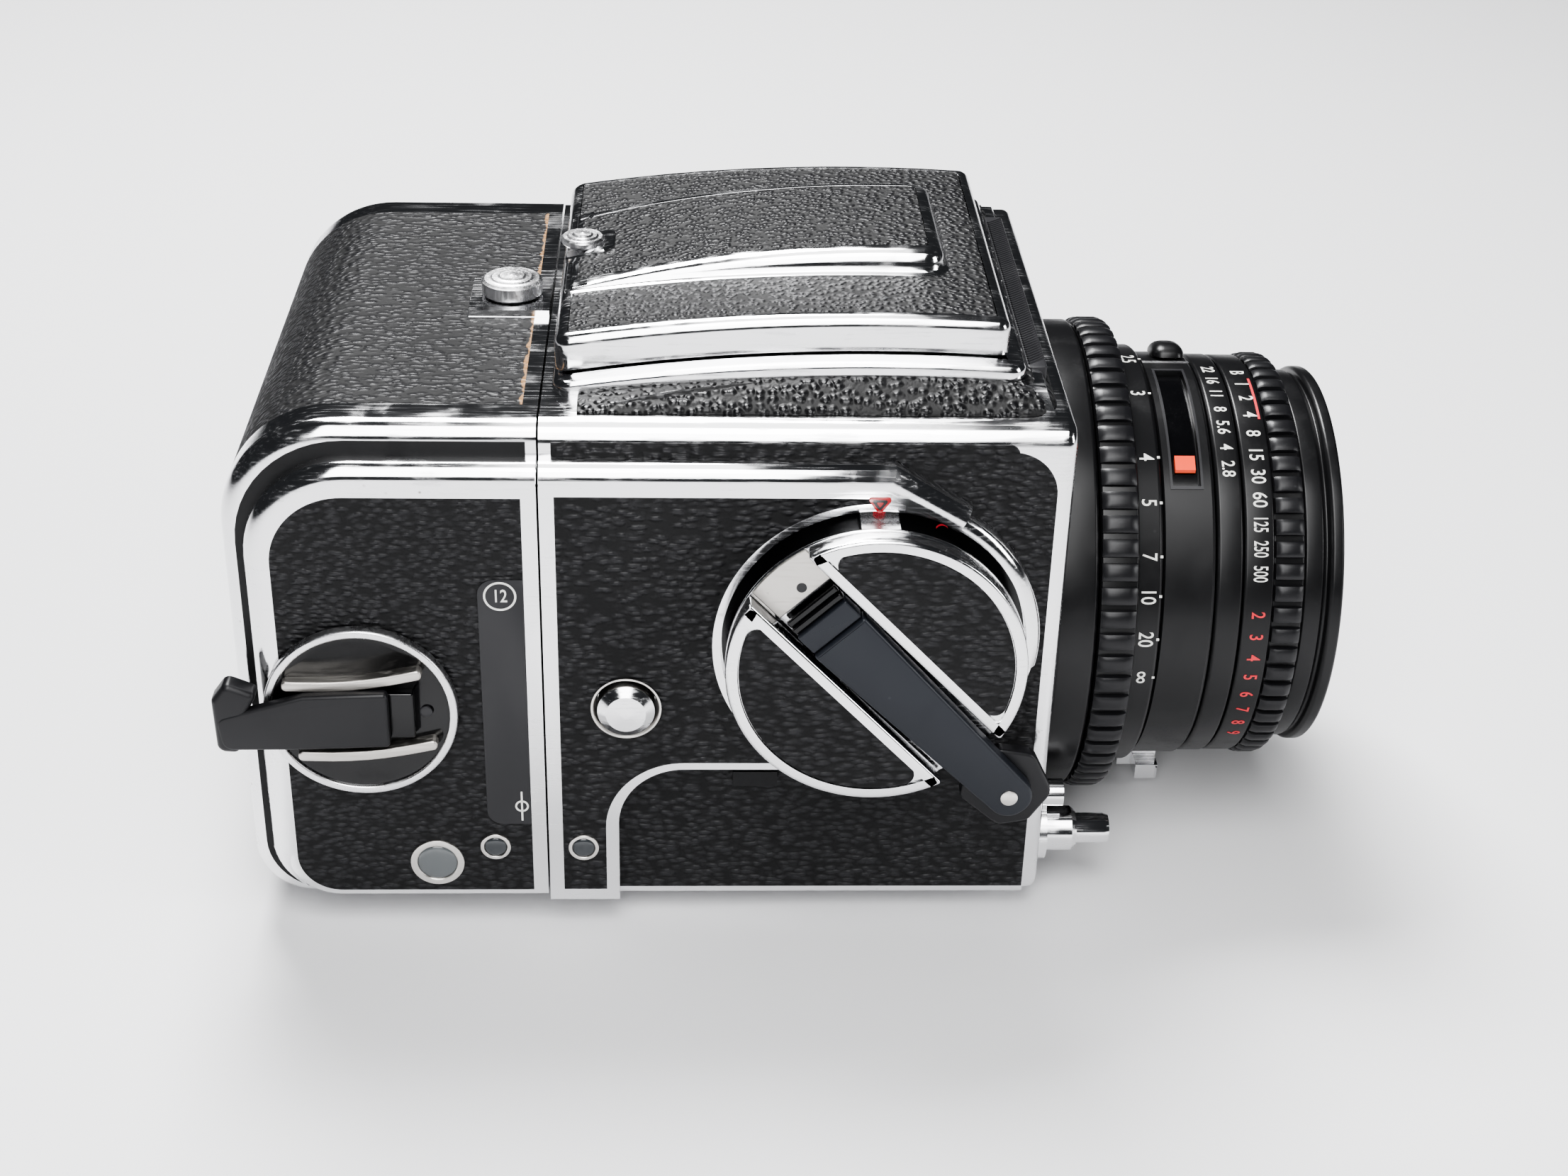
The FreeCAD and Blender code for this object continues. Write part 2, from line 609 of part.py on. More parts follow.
# ---------------------------------------------------------------- controls
def make_controls():
    dome = [(0, 40.5), (2.5, 40.5), (2.5, 45.8), (4.3, 45.8), (4.3, 48.6), (3.0, 49.6), (0, 49.9)]
    piece("prerelease_button", turned("prerelease_button", dome, 0, ahead(BUTTON_FORWARD), BUTTON_Z, OUTWARD))
    collar = [(2.5, 77.45), (3.6, 77.45), (3.6, 83.2), (3.0, 84.0), (2.5, 84.0)]
    ring = turned("release_collar", collar, RELEASE_X, ahead(0), RELEASE_Z)
    piece("release_collar", ring)
    stem = [(0, 74.0), (2.2, 74.0), (2.2, 77.0), (2.45, 77.0), (2.45, 88.6), (2.2, 89.4), (1.2, 89.4),
            (1.2, 88.2),
            (0, 88.2)]
    piece("release_button", turned("release_button", stem, RELEASE_X, ahead(0), RELEASE_Z))
    lock_ring = rod("lock_ring", 4.9, "Y", ahead_span(77.6, 79.0), x=RELEASE_X, z=RELEASE_Z)
    lock_arm = box("lock_arm", (RELEASE_X - 1.6, RELEASE_X + 1.6), ahead_span(77.6, 79.0),
                   (RELEASE_Z, RELEASE_Z + 7))
    knob = rod("lock_knob", 2.2, "Y", ahead_span(77.6, 81.5), x=RELEASE_X, z=RELEASE_Z + 7)
    lock_bore = rod("lock_bore", 3.6 + d.running, "Y", ahead_span(70, 90), x=RELEASE_X, z=RELEASE_Z)
    piece("release_lock", cut("release_lock", fuse("lock_whole", lock_ring, lock_arm, knob), lock_bore))
    lever = box("time_lever", right(d.body_half + 0.05, d.body_half + 1.9), ahead_span(28.5, 35.3),
                up_span(22.6, 25.2))
    piece("time_lever", lever)
    windows = [
        rod("body_window", 2.35, "X", right(COVER_FACE - d.leather, COVER_FACE + 0.4), y=ahead(5.5),
            z=up(12)),
        rod("small_window", 2.35, "X", right(COVER_FACE - d.leather, COVER_FACE + 0.4), y=ahead(-8.1),
            z=up(12.2)),
        rod("counter_window", 4.15, "X", right(COVER_FACE - d.leather, COVER_FACE + 0.4), y=ahead(-17.2),
            z=up(9.2)),
    ]
    piece("signal_windows", group("signal_windows", *windows))


def make_base():
    """The foot plate with the tripod bush, its screws and the accessory rail."""
    foot = rounded("foot_block", box("foot_blank", both(17.5), ahead_span(12, 65), (0, d.foot_rise)), 4,
                   straight_along("Z"))
    bush = rod("foot_bush", 8, "Z", (1, up(2.4)))
    socket = rod("foot_socket", d.socket_radius, "Z", (-1, 20))
    heads = [(x, y) for x in (-12.5, 12.5) for y in (-21, 21)]
    holes = [rod(f"foot_hole_{index}", 2.2, "Z", (1.6, d.foot_rise + 1), x=x, y=y)
             for index, (x, y) in enumerate(heads)]
    mouths = [rod(f"foot_mouth_{index}", 2.2, "Z", (-1, 2), x=x, y=y) for index, (x, y) in enumerate(heads)]
    piece("tripod_plate", cut("tripod_plate", fuse("foot_whole", foot, bush), socket, *holes, *mouths))
    screws = []
    for index, (x, y) in enumerate(heads):
        head = rod(f"screw_head_{index}", 2.15, "Z", (0.4, d.foot_rise), x=x, y=y)
        slot = box(f"screw_slot_{index}", (x - 2.2, x + 2.2), (y - 0.3, y + 0.3), (0, 1.1))
        screws.append(cut(f"base_screw_{index}", head, slot))
    piece("base_screws", group("base_screws", *screws))
    wide = box("rail_wide", (d.body_half + 1.5, d.body_half + 2.8), ahead_span(24, 56), up_span(37, 51))
    neck = box("rail_neck", (d.body_half, d.body_half + 1.5), ahead_span(24, 56), up_span(39, 49))
    piece("accessory_rail", fuse("accessory_rail", wide, neck))


# ---------------------------------------------------------------- finder
HINGE_FORWARD = 69.6
HINGE_HEIGHT = 88.4
SIDE_LEVEL = 87.7
REAR_LEVEL = 86.7


def make_finder_base():
    block = box("rail_block", both(d.base_half), ahead_span(1.6, 70.7), up_span(d.body_height, 92))
    hollow = box("rail_hollow", both(30.4), ahead_span(3.4, 67.0), up_span(80, 95))
    shaped = common("rail_shaped", block, arch("rail_arch", BASE_ARCH, 60))
    lid_room = rod("rail_hinge_room", 1.2, "X", both(28), y=ahead(HINGE_FORWARD), z=up(HINGE_HEIGHT))
    piece("finder_base", cut("finder_base", shaped, arch("rail_under", SADDLE_ARCH, 60), hollow, lid_room))


def make_lid():
    """The lid: an arched cover with a raised ridge along its middle."""
    block = box("lid_block", both(d.lid_half), ahead_span(1.9, 68.3), up_span(84, 99))
    shaped = common("lid_shaped", block, arch("lid_arch_top", d.lid_arch, 60))
    ridge_box = box("ridge_block", both(15.2), ahead_span(4.5, 58.8), up_span(90, 100))
    ridge_arch = rod("ridge_arch", 186, "X", both(60), y=ahead(52), z=up(97.6 - 186))
    ridge = common("ridge", ridge_box, ridge_arch)
    inside_box = box("lid_inside_box", both(d.lid_half - 1.2), ahead_span(3.1, 67.0), up_span(80, 99))
    inside = common("lid_inside", inside_box, arch("lid_inside_arch", d.lid_arch - 1.3, 60))
    knuckle = rod("lid_knuckle", 1.1, "X", both(27.8), y=ahead(HINGE_FORWARD), z=up(HINGE_HEIGHT))
    web = box("lid_web", both(27.8), ahead_span(68.0, HINGE_FORWARD), up_span(HINGE_HEIGHT + 0.2, 89.5))
    latch_hole = box("lid_latch_hole", (-1.1, 3.2), ahead_span(3.9, 6.1), up_span(85, 99))
    leather = lid_leather_solids("trim")
    whole = fuse("lid_whole", shaped, ridge)
    carved = cut("lid_carved", whole, inside, arch("lid_under", BASE_ARCH + 0.25, 60), latch_hole, *leather)
    piece("finder_lid", fuse("finder_lid", carved, knuckle, web))
    piece("lid_leather", group("lid_leather", *lid_leather_solids("sheet")))


def lid_leather_solids(tag):
    """The leather on the lid: two side fields and the field on the ridge."""
    skin = common(f"{tag}_lid_skin",
                  box(f"{tag}_lid_field", both(30.2), ahead_span(3.6, 66.1), up_span(85, 99)),
                  arch(f"{tag}_lid_arch", d.lid_arch, 60))
    sides = cut(f"{tag}_lid_sides", skin, arch(f"{tag}_lid_floor", d.lid_arch - 0.4, 61),
                box(f"{tag}_ridge_room", both(15.25), ahead_span(3.4, 58.9), up_span(80, 99)),
                box(f"{tag}_latch_room", both(4.6), ahead_span(1, 9), up_span(80, 99)))
    top = common(f"{tag}_top_skin",
                 box(f"{tag}_top_field", both(13.6), ahead_span(9.2, 57.2), up_span(85, 99)),
                 rod(f"{tag}_top_arch", 186, "X", both(60), y=ahead(52), z=up(97.6 - 186)))
    ridge = cut(f"{tag}_ridge_sheet", top,
                rod(f"{tag}_top_floor", 185.6, "X", both(61), y=ahead(52), z=up(97.6 - 186)))
    return [sides, ridge]


def make_flaps():
    """The hood's side and rear flaps, mitred so that they rise together, and the magnifier."""
    tall = 28.0
    for name, side in (("left_flap", 1), ("right_flap", -1)):
        outline = [(0, 6), (-tall, 6 + tall - 6), (-tall, 63.5 - tall), (0, 63.5)]
        points = [(side * across, as_size(-along)) for across, along in outline]
        leaf = plate(name + "_leaf", points, 0.5)
        hinge = rod(name + "_hinge", 0.45, "Y", (-63, -6.5), z=0.25)
        piece(name, put(fuse(name, leaf, hinge), side * 29.6, ahead(0), up(SIDE_LEVEL), Rotation()))
    rear = [(-28.6, 0), (28.6, 0), (2.0, -26.6), (-2.0, -26.6)]
    leaf = plate("rear_flap_leaf", rear, 0.5)
    hinge = rod("rear_flap_hinge", 0.45, "X", both(28), z=0.25)
    piece("rear_flap", put(fuse("rear_flap", leaf, hinge), 0, ahead(4.4), up(REAR_LEVEL), Rotation()))
    ring = rod("magnifier_ring", 12.2, "Z", (0, 1.6), y=14.5)
    strap = box("magnifier_strap", both(4), (0, 8), (0, 1.6))
    hub = rod("magnifier_hub", 0.9, "X", both(5), z=0.8)
    hole = rod("magnifier_hole", 11.0, "Z", (-1, 3), y=14.5)
    arm = cut("magnifier_arm", fuse("magnifier_whole", ring, strap, hub), hole)
    place = dict(y=ahead(HINGE_FORWARD - 33), z=up(88.6), turn=Rotation())
    piece("magnifier_arm", put(arm, **place))
    lens = rod("magnifier_disc", 11.0, "Z", (0, 1.6), y=14.5)
    piece("magnifier_lens", put(group("magnifier_lens", lens), **place))
    latch = [(0, 0), (1.0, 0), (1.0, 2.8), (3.4, 2.8), (3.4, 4.1), (2.4, 4.9), (0, 4.9)]
    piece("lid_latch", turned("lid_latch", latch, 0, ahead(5.0), up(89.8), ALONG["Z"]))


# ---------------------------------------------------------------- magazine
def magazine_block(name, half, inset, top_radius, low_radius):
    """A block with the magazine's two rounded rear corners."""
    block = box(name + "_block", both(half), ahead_span(inset - d.magazine_depth, -d.joint_gap),
                up_span(inset, d.body_height - inset))

    def rear_top(edge):
        return straight_along("X")(edge) and near("Z", up(d.body_height - inset))(edge) and \
            near("Y", ahead(inset - d.magazine_depth))(edge)

    def rear_low(edge):
        return straight_along("X")(edge) and near("Z", up(inset))(edge) and \
            near("Y", ahead(inset - d.magazine_depth))(edge)

    topped = rounded(name + "_topped", block, top_radius, rear_top)
    return rounded(name + "_cornered", topped, low_radius, rear_low)


def magazine_side(name, low, high, inset, top_radius, low_radius, rear, front, bottom, top):
    """A side plate with rounded rear corners, between two distances from the middle."""
    block = box(name + "_block", right(low, high), ahead_span(-rear, -front), up_span(bottom, top))

    def rear_top(edge):
        return straight_along("X")(edge) and near("Z", up(top))(edge) and near("Y", ahead(-rear))(edge)

    def rear_low(edge):
        return straight_along("X")(edge) and near("Z", up(bottom))(edge) and near("Y", ahead(-rear))(edge)

    topped = rounded(name + "_topped", block, top_radius, rear_top)
    return rounded(name + "_cornered", topped, low_radius, rear_low)


def make_magazine():
    outer = magazine_block("mag_outer", d.body_half, 0, d.top_corner.number, d.low_corner.number)

    def side_rim(edge):
        return near("X", d.body_half)(edge) or near("X", -d.body_half)(edge)

    def not_front(edge):
        return side_rim(edge) and not near("Y", ahead(-d.joint_gap))(edge)

    railed = rounded("mag_railed", outer, 2.8, not_front)
    hollow = magazine_block("mag_hollow", d.body_half - 2.9, 2.8, 14.2, 6.2)
    skin_outer = magazine_block("skin_outer", 37.4, 0, d.top_corner.number, d.low_corner.number)
    skin_inner = magazine_block("skin_inner", 38, 0.45, d.top_corner.number - 0.45,
                                d.low_corner.number - 0.45)
    skin_limits = [
        box("skin_front", both(50), ahead_span(-2.4, 1), up_span(-1, 90)),
        box("skin_bottom", both(50), ahead_span(-60, 1), up_span(-5, 3)),
        box("skin_pad_room", both(6.6), ahead_span(-12.9, 1), up_span(80, 90)),
    ]
    top_skin = cut("magazine_skin", skin_outer, skin_inner, *skin_limits)
    openings = [
        box("mag_gate", both(d.gate_half), ahead_span(-4, 1), up_span(10.3, 66.3)),
        box("mag_slide_slot", (-30.5, 60), ahead_span(-1.8, -1.1), up_span(8.7, 68.5)),
        rod("mag_crank_hole", 3 + d.running, "X", right(40, 50), y=ahead(-d.film_crank_back),
            z=up(d.film_crank_height)),
        rod("mag_key_hole", 2.5 + d.running, "X", (40, 50), y=ahead(-24), z=up(40)),
        rod("mag_catch_hole", 1.3, "Z", up_span(79, 90), y=ahead(-6.2)),
        box("mag_catch_slot", (0, 4.4), ahead_span(-7.5, -4.9), up_span(79, 90)),
    ]
    left_sheet = magazine_side("mag_left_sheet", -d.body_half, -d.body_half + 0.45, 0, 12, 6, 40.5, 2.6,
                               3.4, 76)
    left_sheet = cut("mag_left_leather", left_sheet,
                     rod("mag_left_hole", 2.9, "X", (40, 50), y=ahead(-24), z=up(40)))
    front_wall = box("mag_front_wall", both(41), ahead_span(-2.9, -d.joint_gap), up_span(3, 80))
    shell = cut("mag_hollowed", railed, cut("mag_room", hollow, front_wall), top_skin, left_sheet, *openings)
    pad = box("mag_pad", both(6.4), ahead_span(-12.6, -d.joint_gap), up_span(d.body_height - 1, 84.2))
    pad = cut("mag_pad_open", pad, box("mag_pad_slot", (-1.3, 4.4), ahead_span(-7.5, -4.9), up_span(79, 90)))
    piece("magazine_shell", fuse("magazine_shell", shell, pad))
    cover_block = magazine_side("mag_cover", d.body_half, COVER_FACE, 0, 14.0, 9.0, 41.4, d.joint_gap.number,
                                1.9, d.cover_top.number)

    def cover_edges(edge):
        return near("X", -COVER_FACE)(edge) and not near("Y", ahead(-d.joint_gap))(edge)

    cover_soft = rounded("mag_cover_soft", cover_block, 2.2, cover_edges)
    pocket = magazine_side("mag_pocket", COVER_FACE - d.leather, COVER_FACE + 1, 0, 11, 6.5, 38.7, 2.4, 3.8,
                           73.2)
    crank_hole = rod("mag_cover_hole", 3 + d.running, "X", right(40, 60), y=ahead(-d.film_crank_back),
                     z=up(d.film_crank_height))
    piece("magazine_cover", cut("magazine_cover", cover_soft, pocket, crank_hole))
    sheet_block = magazine_side("mag_sheet", COVER_FACE - d.leather, COVER_FACE - 0.05, 0, 11, 6.5, 38.7, 2.4,
                                3.8, 73.2)
    label_room = box("mag_label_room", right(45, 50), ahead_span(-9.1, -2.4), up_span(16.4, 59.9))
    holes = [
        rod("mag_small_hole", 2.35, "X", right(45, 50), y=ahead(-8.1), z=up(12.2)),
        rod("mag_counter_hole", 4.15, "X", right(45, 50), y=ahead(-17.2), z=up(9.2)),
        rod("mag_sheet_hole", 4.2, "X", right(45, 50), y=ahead(-d.film_crank_back),
            z=up(d.film_crank_height)),
    ]
    side_sheet = cut("mag_side_sheet", sheet_block, label_room, *holes)
    piece("magazine_leathers", group("magazine_leathers", top_skin, side_sheet, left_sheet))
    label = box("label_blank", right(COVER_FACE - d.leather, COVER_FACE), ahead_span(-9.05, -2.42),
                up_span(16.45, 59.85))
    piece("magazine_label", group("magazine_label", label))


def make_film_crank():
    """The film crank on the magazine, its folding handle and the spools."""
    place = dict(y=ahead(-d.film_crank_back), z=up(d.film_crank_height), turn=OUTWARD_UP)
    wheel = cut("wheel_dished", rod("wheel_disc", 14.65, "Z", (47.8, 50.2)),
                rod("wheel_dish", 13.7, "Z", (48.8, 51)))
    bars = [box(f"wheel_bar_{side}", (-9.0, 11.5), (side * 6.3 - 0.75, side * 6.3 + 0.75), (48.5, 50.6))
            for side in (-1, 1)]
    lugs = [box(f"wheel_lug_{side}", (-9.8, -7.0), (side * 5.2 - 0.4, side * 5.2 + 0.4), (48.5, 51.8))
            for side in (-1, 1)]
    pin = rod("wheel_pin", 0.6, "Y", both(5.2), x=-8.4, z=51.0)
    teeth = gear("film_teeth", 20, 1.0, 0, 3)
    put(teeth, 0, 0, 36.5)
    shaft = rod("wheel_shaft", 3.0, "Z", (36, 48.2))
    whole = fuse("film_crank_wheel", wheel, *bars, *lugs, pin, teeth, shaft)
    piece("film_crank_wheel", put(whole, **place))
    outline = [(-9.2, -3.6), (6, -4.4), (21.5, -4.6), (21.5, 4.6), (6, 4.4), (-9.2, 3.6)]
    arm = plate("handle_arm", outline, 1.5, z=50.3)
    curl = rod("handle_curl", 1.5, "Y", both(4.6), x=21.2, z=51.4)
    bore = rod("handle_bore", 0.6 + d.running, "Y", both(8), x=-8.4, z=51.0)
    handle = cut("film_crank_handle", fuse("handle_whole", arm, curl), bore)
    piece("film_crank_handle", put(handle, **place))
    spool_height = d.film_crank_height + 22
    for name, height in (("take_up_spool", spool_height), ("supply_spool", as_size(17.5))):
        parts = [
            rod(name + "_core", 5.5, "X", both(31)),
            rod(name + "_shaft", 2.0, "X", both(41.3)),
            rod(name + "_flange_left", 12.4, "X", (31, 32)),
            rod(name + "_flange_right", 12.4, "X", (-32, -31)),
        ]
        if name == "take_up_spool":
            wheel_teeth = gear("spool_teeth", 24, 1.0, 360 / 48, 3)
            put(wheel_teeth, -36.5, 0, 0, Rotation(Vector(0, 0, 1), Vector(0, 1, 0), Vector(-1, 0, 0), "ZXY"))
            parts += [wheel_teeth]
        piece(name, put(fuse(name, *parts), 0, ahead(-d.film_crank_back), up(height), Rotation()))
    piece("pressure_plate", box("pressure_plate", both(32), ahead_span(-6.2, -4.8), up_span(9, 68)))


def make_magazine_controls():
    leaf = box("slide_leaf", (-29.5, 44.8), ahead_span(-1.65, -1.25), up_span(9.2, 68))
    handle = box("slide_handle", (44.8, 51.5), ahead_span(-2.0, -0.9), up_span(27, 50))
    window = box("slide_window", (46.3, 49.8), ahead_span(-3, 0), up_span(29.5, 47.5))
    piece("dark_slide", cut("dark_slide", fuse("slide_whole", leaf, handle), window))
    head = [(0, 79.5), (1.2, 79.5), (1.2, 84.4), (4.8, 84.4), (4.8, 86.6), (3.8, 87.6), (0, 87.6)]
    piece("magazine_catch", turned("magazine_catch", head, 0, ahead(-6.2), up(0), ALONG["Z"]))
    key = fuse("insert_key", rod("key_disc", 8.5, "X", (44.6, 46.0)), rod("key_shaft", 2.5, "X", (38, 44.8)),
               box("key_bar", (45.8, 48.2), both(7.5), both(1.1)))
    piece("insert_key", put(key, 0, ahead(-24), up(40), Rotation()))


# ---------------------------------------------------------------- lens
def scalloped(name, profile, crest, low, high, count, groove_radius):
    """A turned ring whose grip is cut by a circle of grooves."""
    body = turned(name, profile, **lens_place(0))
    sketch = body.newObject("Sketcher::SketchObject", name + "_groove")
    plane = next(item for item in body.Origin.OriginFeatures if item.Role == "XY_Plane")
    sketch.AttachmentSupport = (plane, [""])
    sketch.MapMode = "FlatFace"
    sketch.AttachmentOffset = Placement(Vector(0, 0, high), Rotation())
    centre = Vector(crest + groove_radius * 0.35, 0, 0)
    sketch.addGeometry(Part.Circle(centre, Vector(0, 0, 1), groove_radius), False)
    sketch.addConstraint(Sketcher.Constraint("DistanceX", -1, 1, 0, 3, centre.x))
    sketch.addConstraint(Sketcher.Constraint("PointOnObject", 0, 3, -1))
    sketch.addConstraint(Sketcher.Constraint("Radius", 0, groove_radius))
    pocket = body.newObject("PartDesign::Pocket", name + "_groove_cut")
    pocket.Profile = sketch
    bind(pocket, Length=high - low)
    pattern = body.newObject("PartDesign::PolarPattern", name + "_grooves")
    pattern.Originals = [pocket]
    pattern.Axis = (sketch, ["N_Axis"])
    pattern.Angle = 360
    pattern.Occurrences = count
    body.Tip = pattern
    return body


def glass(name, radius, low, high, bulge, back_bulge):
    """A lens element: a short cylinder between two spherical faces."""
    tall = high - low
    front = (radius ** 2 + bulge ** 2) / (2 * bulge)
    back = (radius ** 2 + back_bulge ** 2) / (2 * back_bulge)
    blank = rod(name + "_blank", radius, "Z", (0, tall))
    faces = []
    for side, ball, height in (("front", front, tall - front), ("back", back, back)):
        sphere = doc.addObject("Part::Sphere", f"{name}_{side}")
        bind(sphere, Radius=ball)
        faces.append(put(sphere, 0, 0, height))
    return put(common(name, blank, *faces), turn=FORWARD, **lens_place(low))


def make_lens():
    barrel = [(28.0, 72.7), (30.9, 72.7), (30.9, 77.4), (38.9, 77.4), (38.9, 84.1), (31.4, 84.1),
              (31.4, 94.9),
              (33.6, 94.9), (33.6, 103.1), (29.5, 103.1), (29.5, 113.2), (28.0, 113.2)]
    tube = turned("barrel_tube", barrel, **lens_place(0))
    groove = cut("pointer_groove",
                 rod("groove_outer", 34.5, "Y", ahead_span(96.6, 101.0), z=up(d.axis_height)),
                 rod("groove_inner", 32.6, "Y", ahead_span(96, 102), z=up(d.axis_height)))
    window = box("groove_sector", right(-0.3, 22.7), ahead_span(96.6, 101),
                 (up(d.axis_height + 20), up(d.axis_height + 36)))
    track = common("pointer_track", groove, window)
    sync_room = box("sync_room", (-13.5, 0.5), ahead_span(95.8, 103), (up(0), up(d.axis_height - 29.6)))
    preview_room = box("preview_room", (-3, 13), ahead_span(97.0, 103), (up(d.axis_height + 32), up(90)))
    piece("lens_barrel", cut("lens_barrel", tube, track, sync_room, preview_room))
    focus = [(31.45, 84.3), (39.5, 84.3), (39.5, 90.1), (34.8, 90.1), (34.8, 94.6), (31.45, 94.6)]
    piece("focus_ring", scalloped("focus_ring", focus, 39.5, 84.3, 90.1, 66, 1.35))
    aperture = [(29.55, 103.3), (33.3, 103.3), (33.3, 107.5), (29.55, 107.5)]
    piece("aperture_ring", turned("aperture_ring", aperture, **lens_place(0)))
    speed = [(29.55, 107.7), (33.2, 107.7), (33.2, 112.4), (33.8, 112.4), (33.8, 117.1), (29.55, 117.1)]
    piece("shutter_ring", scalloped("shutter_ring", speed, 33.8, 112.4, 117.1, 60, 1.2))
    nose = [(24.2, 113.2), (29.4, 113.2), (29.4, 117.3), (30.8, 117.3), (30.8, 121.6), (31.4, 121.6),
            (31.4, 123.9), (26.0, 123.9), (26.0, 120.8), (24.2, 120.8)]
    piece("front_barrel", turned("front_barrel", nose, **lens_place(0)))
    piece("front_glass", glass("front_glass", 24.15, 113.6, 119.6, 3.0, 1.5))
    piece("rear_glass", glass("rear_glass", 27.9, 74.0, 80.0, 1.5, 2.5))
    x, z = on_barrel(33.2, 36.5)
    pointer = box("pointer_tab", (x - 1.0, x + 1.0), ahead_span(97.2, 100.4), (z - 1.0, z + 1.0))
    limit = rod("pointer_limit", 33.45, "Y", ahead_span(96, 102), z=up(d.axis_height))
    floor = rod("pointer_floor", 32.65, "Y", ahead_span(96, 102), z=up(d.axis_height))
    piece("depth_pointer", cut("depth_pointer", common("pointer_kept", pointer, limit), floor))
    blades = []
    for index in range(5):
        ring = cut(f"blade_ring_{index}", rod(f"blade_outer_{index}", 26, "Z", (0, 0.3)),
                   rod(f"blade_inner_{index}", 9, "Z", (-1, 1)))
        slice_box = box(f"blade_slice_{index}", (0, 30), (-2, 26), (-1, 1))
        blade = common(f"shutter_blade_{index}", ring, slice_box)
        spin = Rotation(Vector(0, 0, 1), 72 * index)
        blades.append(put(group(f"blade_turned_{index}", blade), z=97 + 0.4 * index, turn=spin))
    stack = group("shutter_blades", *blades)
    piece("shutter_blades", put(stack, turn=FORWARD, **lens_place(0)))
    sync_arm = box("sync_arm", (-7.6, -4.6), ahead_span(96.2, 102.8),
                   (up(d.axis_height - 38.2), up(d.axis_height - 31.6)))
    sync_foot = box("sync_foot", (-10.2, -2.4), ahead_span(99.0, 102.8),
                    (up(d.axis_height - 39.4), up(d.axis_height - 36.6)))
    piece("sync_lever", fuse("sync_lever", sync_arm, sync_foot))
    hump = box("preview_blank", (1.0, 9.0), ahead_span(97.4, 102.7),
               (up(d.axis_height + 32.3), up(d.axis_height + 37.0)))
    piece("preview_lever", rounded("preview_lever", hump, 1.4, near("Z", up(d.axis_height + 37.0))))


# ---------------------------------------------------------------- build and save
base_sheet, cover_sheet, left_sheet = make_leathers()
make_body_shell(base_sheet, left_sheet)
make_right_cover()
front_sheet = make_front()
piece("body_leathers", group("body_leathers", base_sheet, cover_sheet, left_sheet, front_sheet,
                             *make_shoulders()))
make_mirror_box()
make_mirror()
make_winding()
make_crank()
make_controls()
make_base()
make_finder_base()
make_lid()
make_flaps()
make_magazine()
make_film_crank()
make_magazine_controls()
make_lens()
doc.recompute()

for thing in doc.Objects:
    if "Invalid" in thing.State or "Error" in thing.State:
        raise RuntimeError(f"{thing.Name} failed to build: {thing.State}")
for node, thing in PIECES.items():
    if thing.Shape.isNull() or not thing.Shape.isValid() or not thing.Shape.Solids:
        raise RuntimeError(f"{node} has no valid solid")

os.makedirs("parts", exist_ok=True)
for node, thing in PIECES.items():
    thing.Shape.exportStep(f"parts/{node}.step")
print(len(PIECES), "sub-parts written")
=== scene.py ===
# %% [markdown]
# # A modular film camera, dressed over its CAD frame
# The metal and glass of this camera are already solid in the CAD frame. Blender adds what the eye looks for:
# rounded chrome, pebbled leather, ribbed rings and painted numbers. Each step says what the real piece is,
# and why it is made the way it is.

# %% Load the frame
import math

import bmesh
import bpy
from mathutils import Matrix, Vector


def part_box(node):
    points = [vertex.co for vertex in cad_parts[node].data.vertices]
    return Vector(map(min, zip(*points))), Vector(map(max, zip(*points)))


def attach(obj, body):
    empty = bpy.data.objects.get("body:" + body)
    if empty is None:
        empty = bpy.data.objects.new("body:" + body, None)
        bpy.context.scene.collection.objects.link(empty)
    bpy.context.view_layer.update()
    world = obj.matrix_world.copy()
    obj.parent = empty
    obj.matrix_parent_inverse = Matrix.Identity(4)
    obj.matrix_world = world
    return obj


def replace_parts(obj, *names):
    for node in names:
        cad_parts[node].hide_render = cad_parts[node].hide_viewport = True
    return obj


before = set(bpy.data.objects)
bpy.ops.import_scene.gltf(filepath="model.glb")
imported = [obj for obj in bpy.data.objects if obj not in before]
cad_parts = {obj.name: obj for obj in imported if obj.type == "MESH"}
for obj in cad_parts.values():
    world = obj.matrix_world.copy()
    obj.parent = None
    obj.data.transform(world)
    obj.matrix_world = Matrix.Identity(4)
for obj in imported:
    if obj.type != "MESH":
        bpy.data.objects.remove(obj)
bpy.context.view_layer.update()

# %% [markdown]
# ## Places on the camera
# A camera maker measures forward from the joint between body and magazine, up from the body's underside, and
# outward from the middle. Two nodes of the frame give the joint and the underside, so each later place is
# given in millimetres from them.

# %% Millimetres from the joint, the underside and the middle
MM = 0.001
joint_y = (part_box("body_shell")[1].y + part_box("magazine_shell")[0].y) / 2
under_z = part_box("front_frame")[0].z
lens_height = (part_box("lens_mount")[0].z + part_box("lens_mount")[1].z) / 2 / MM - under_z / MM
BODY, CRANK, MAGAZINE_CRANK = "camera_body", "winding_crank", "film_crank"


def at(across, forward, height):
    """A point: across to the left hand side, forward to the lens, height above the underside."""
    return Vector((across * MM, joint_y - forward * MM, under_z + height * MM))


print("joint plane", round(joint_y, 4), "underside", round(under_z, 4), "lens axis", round(lens_height, 2))
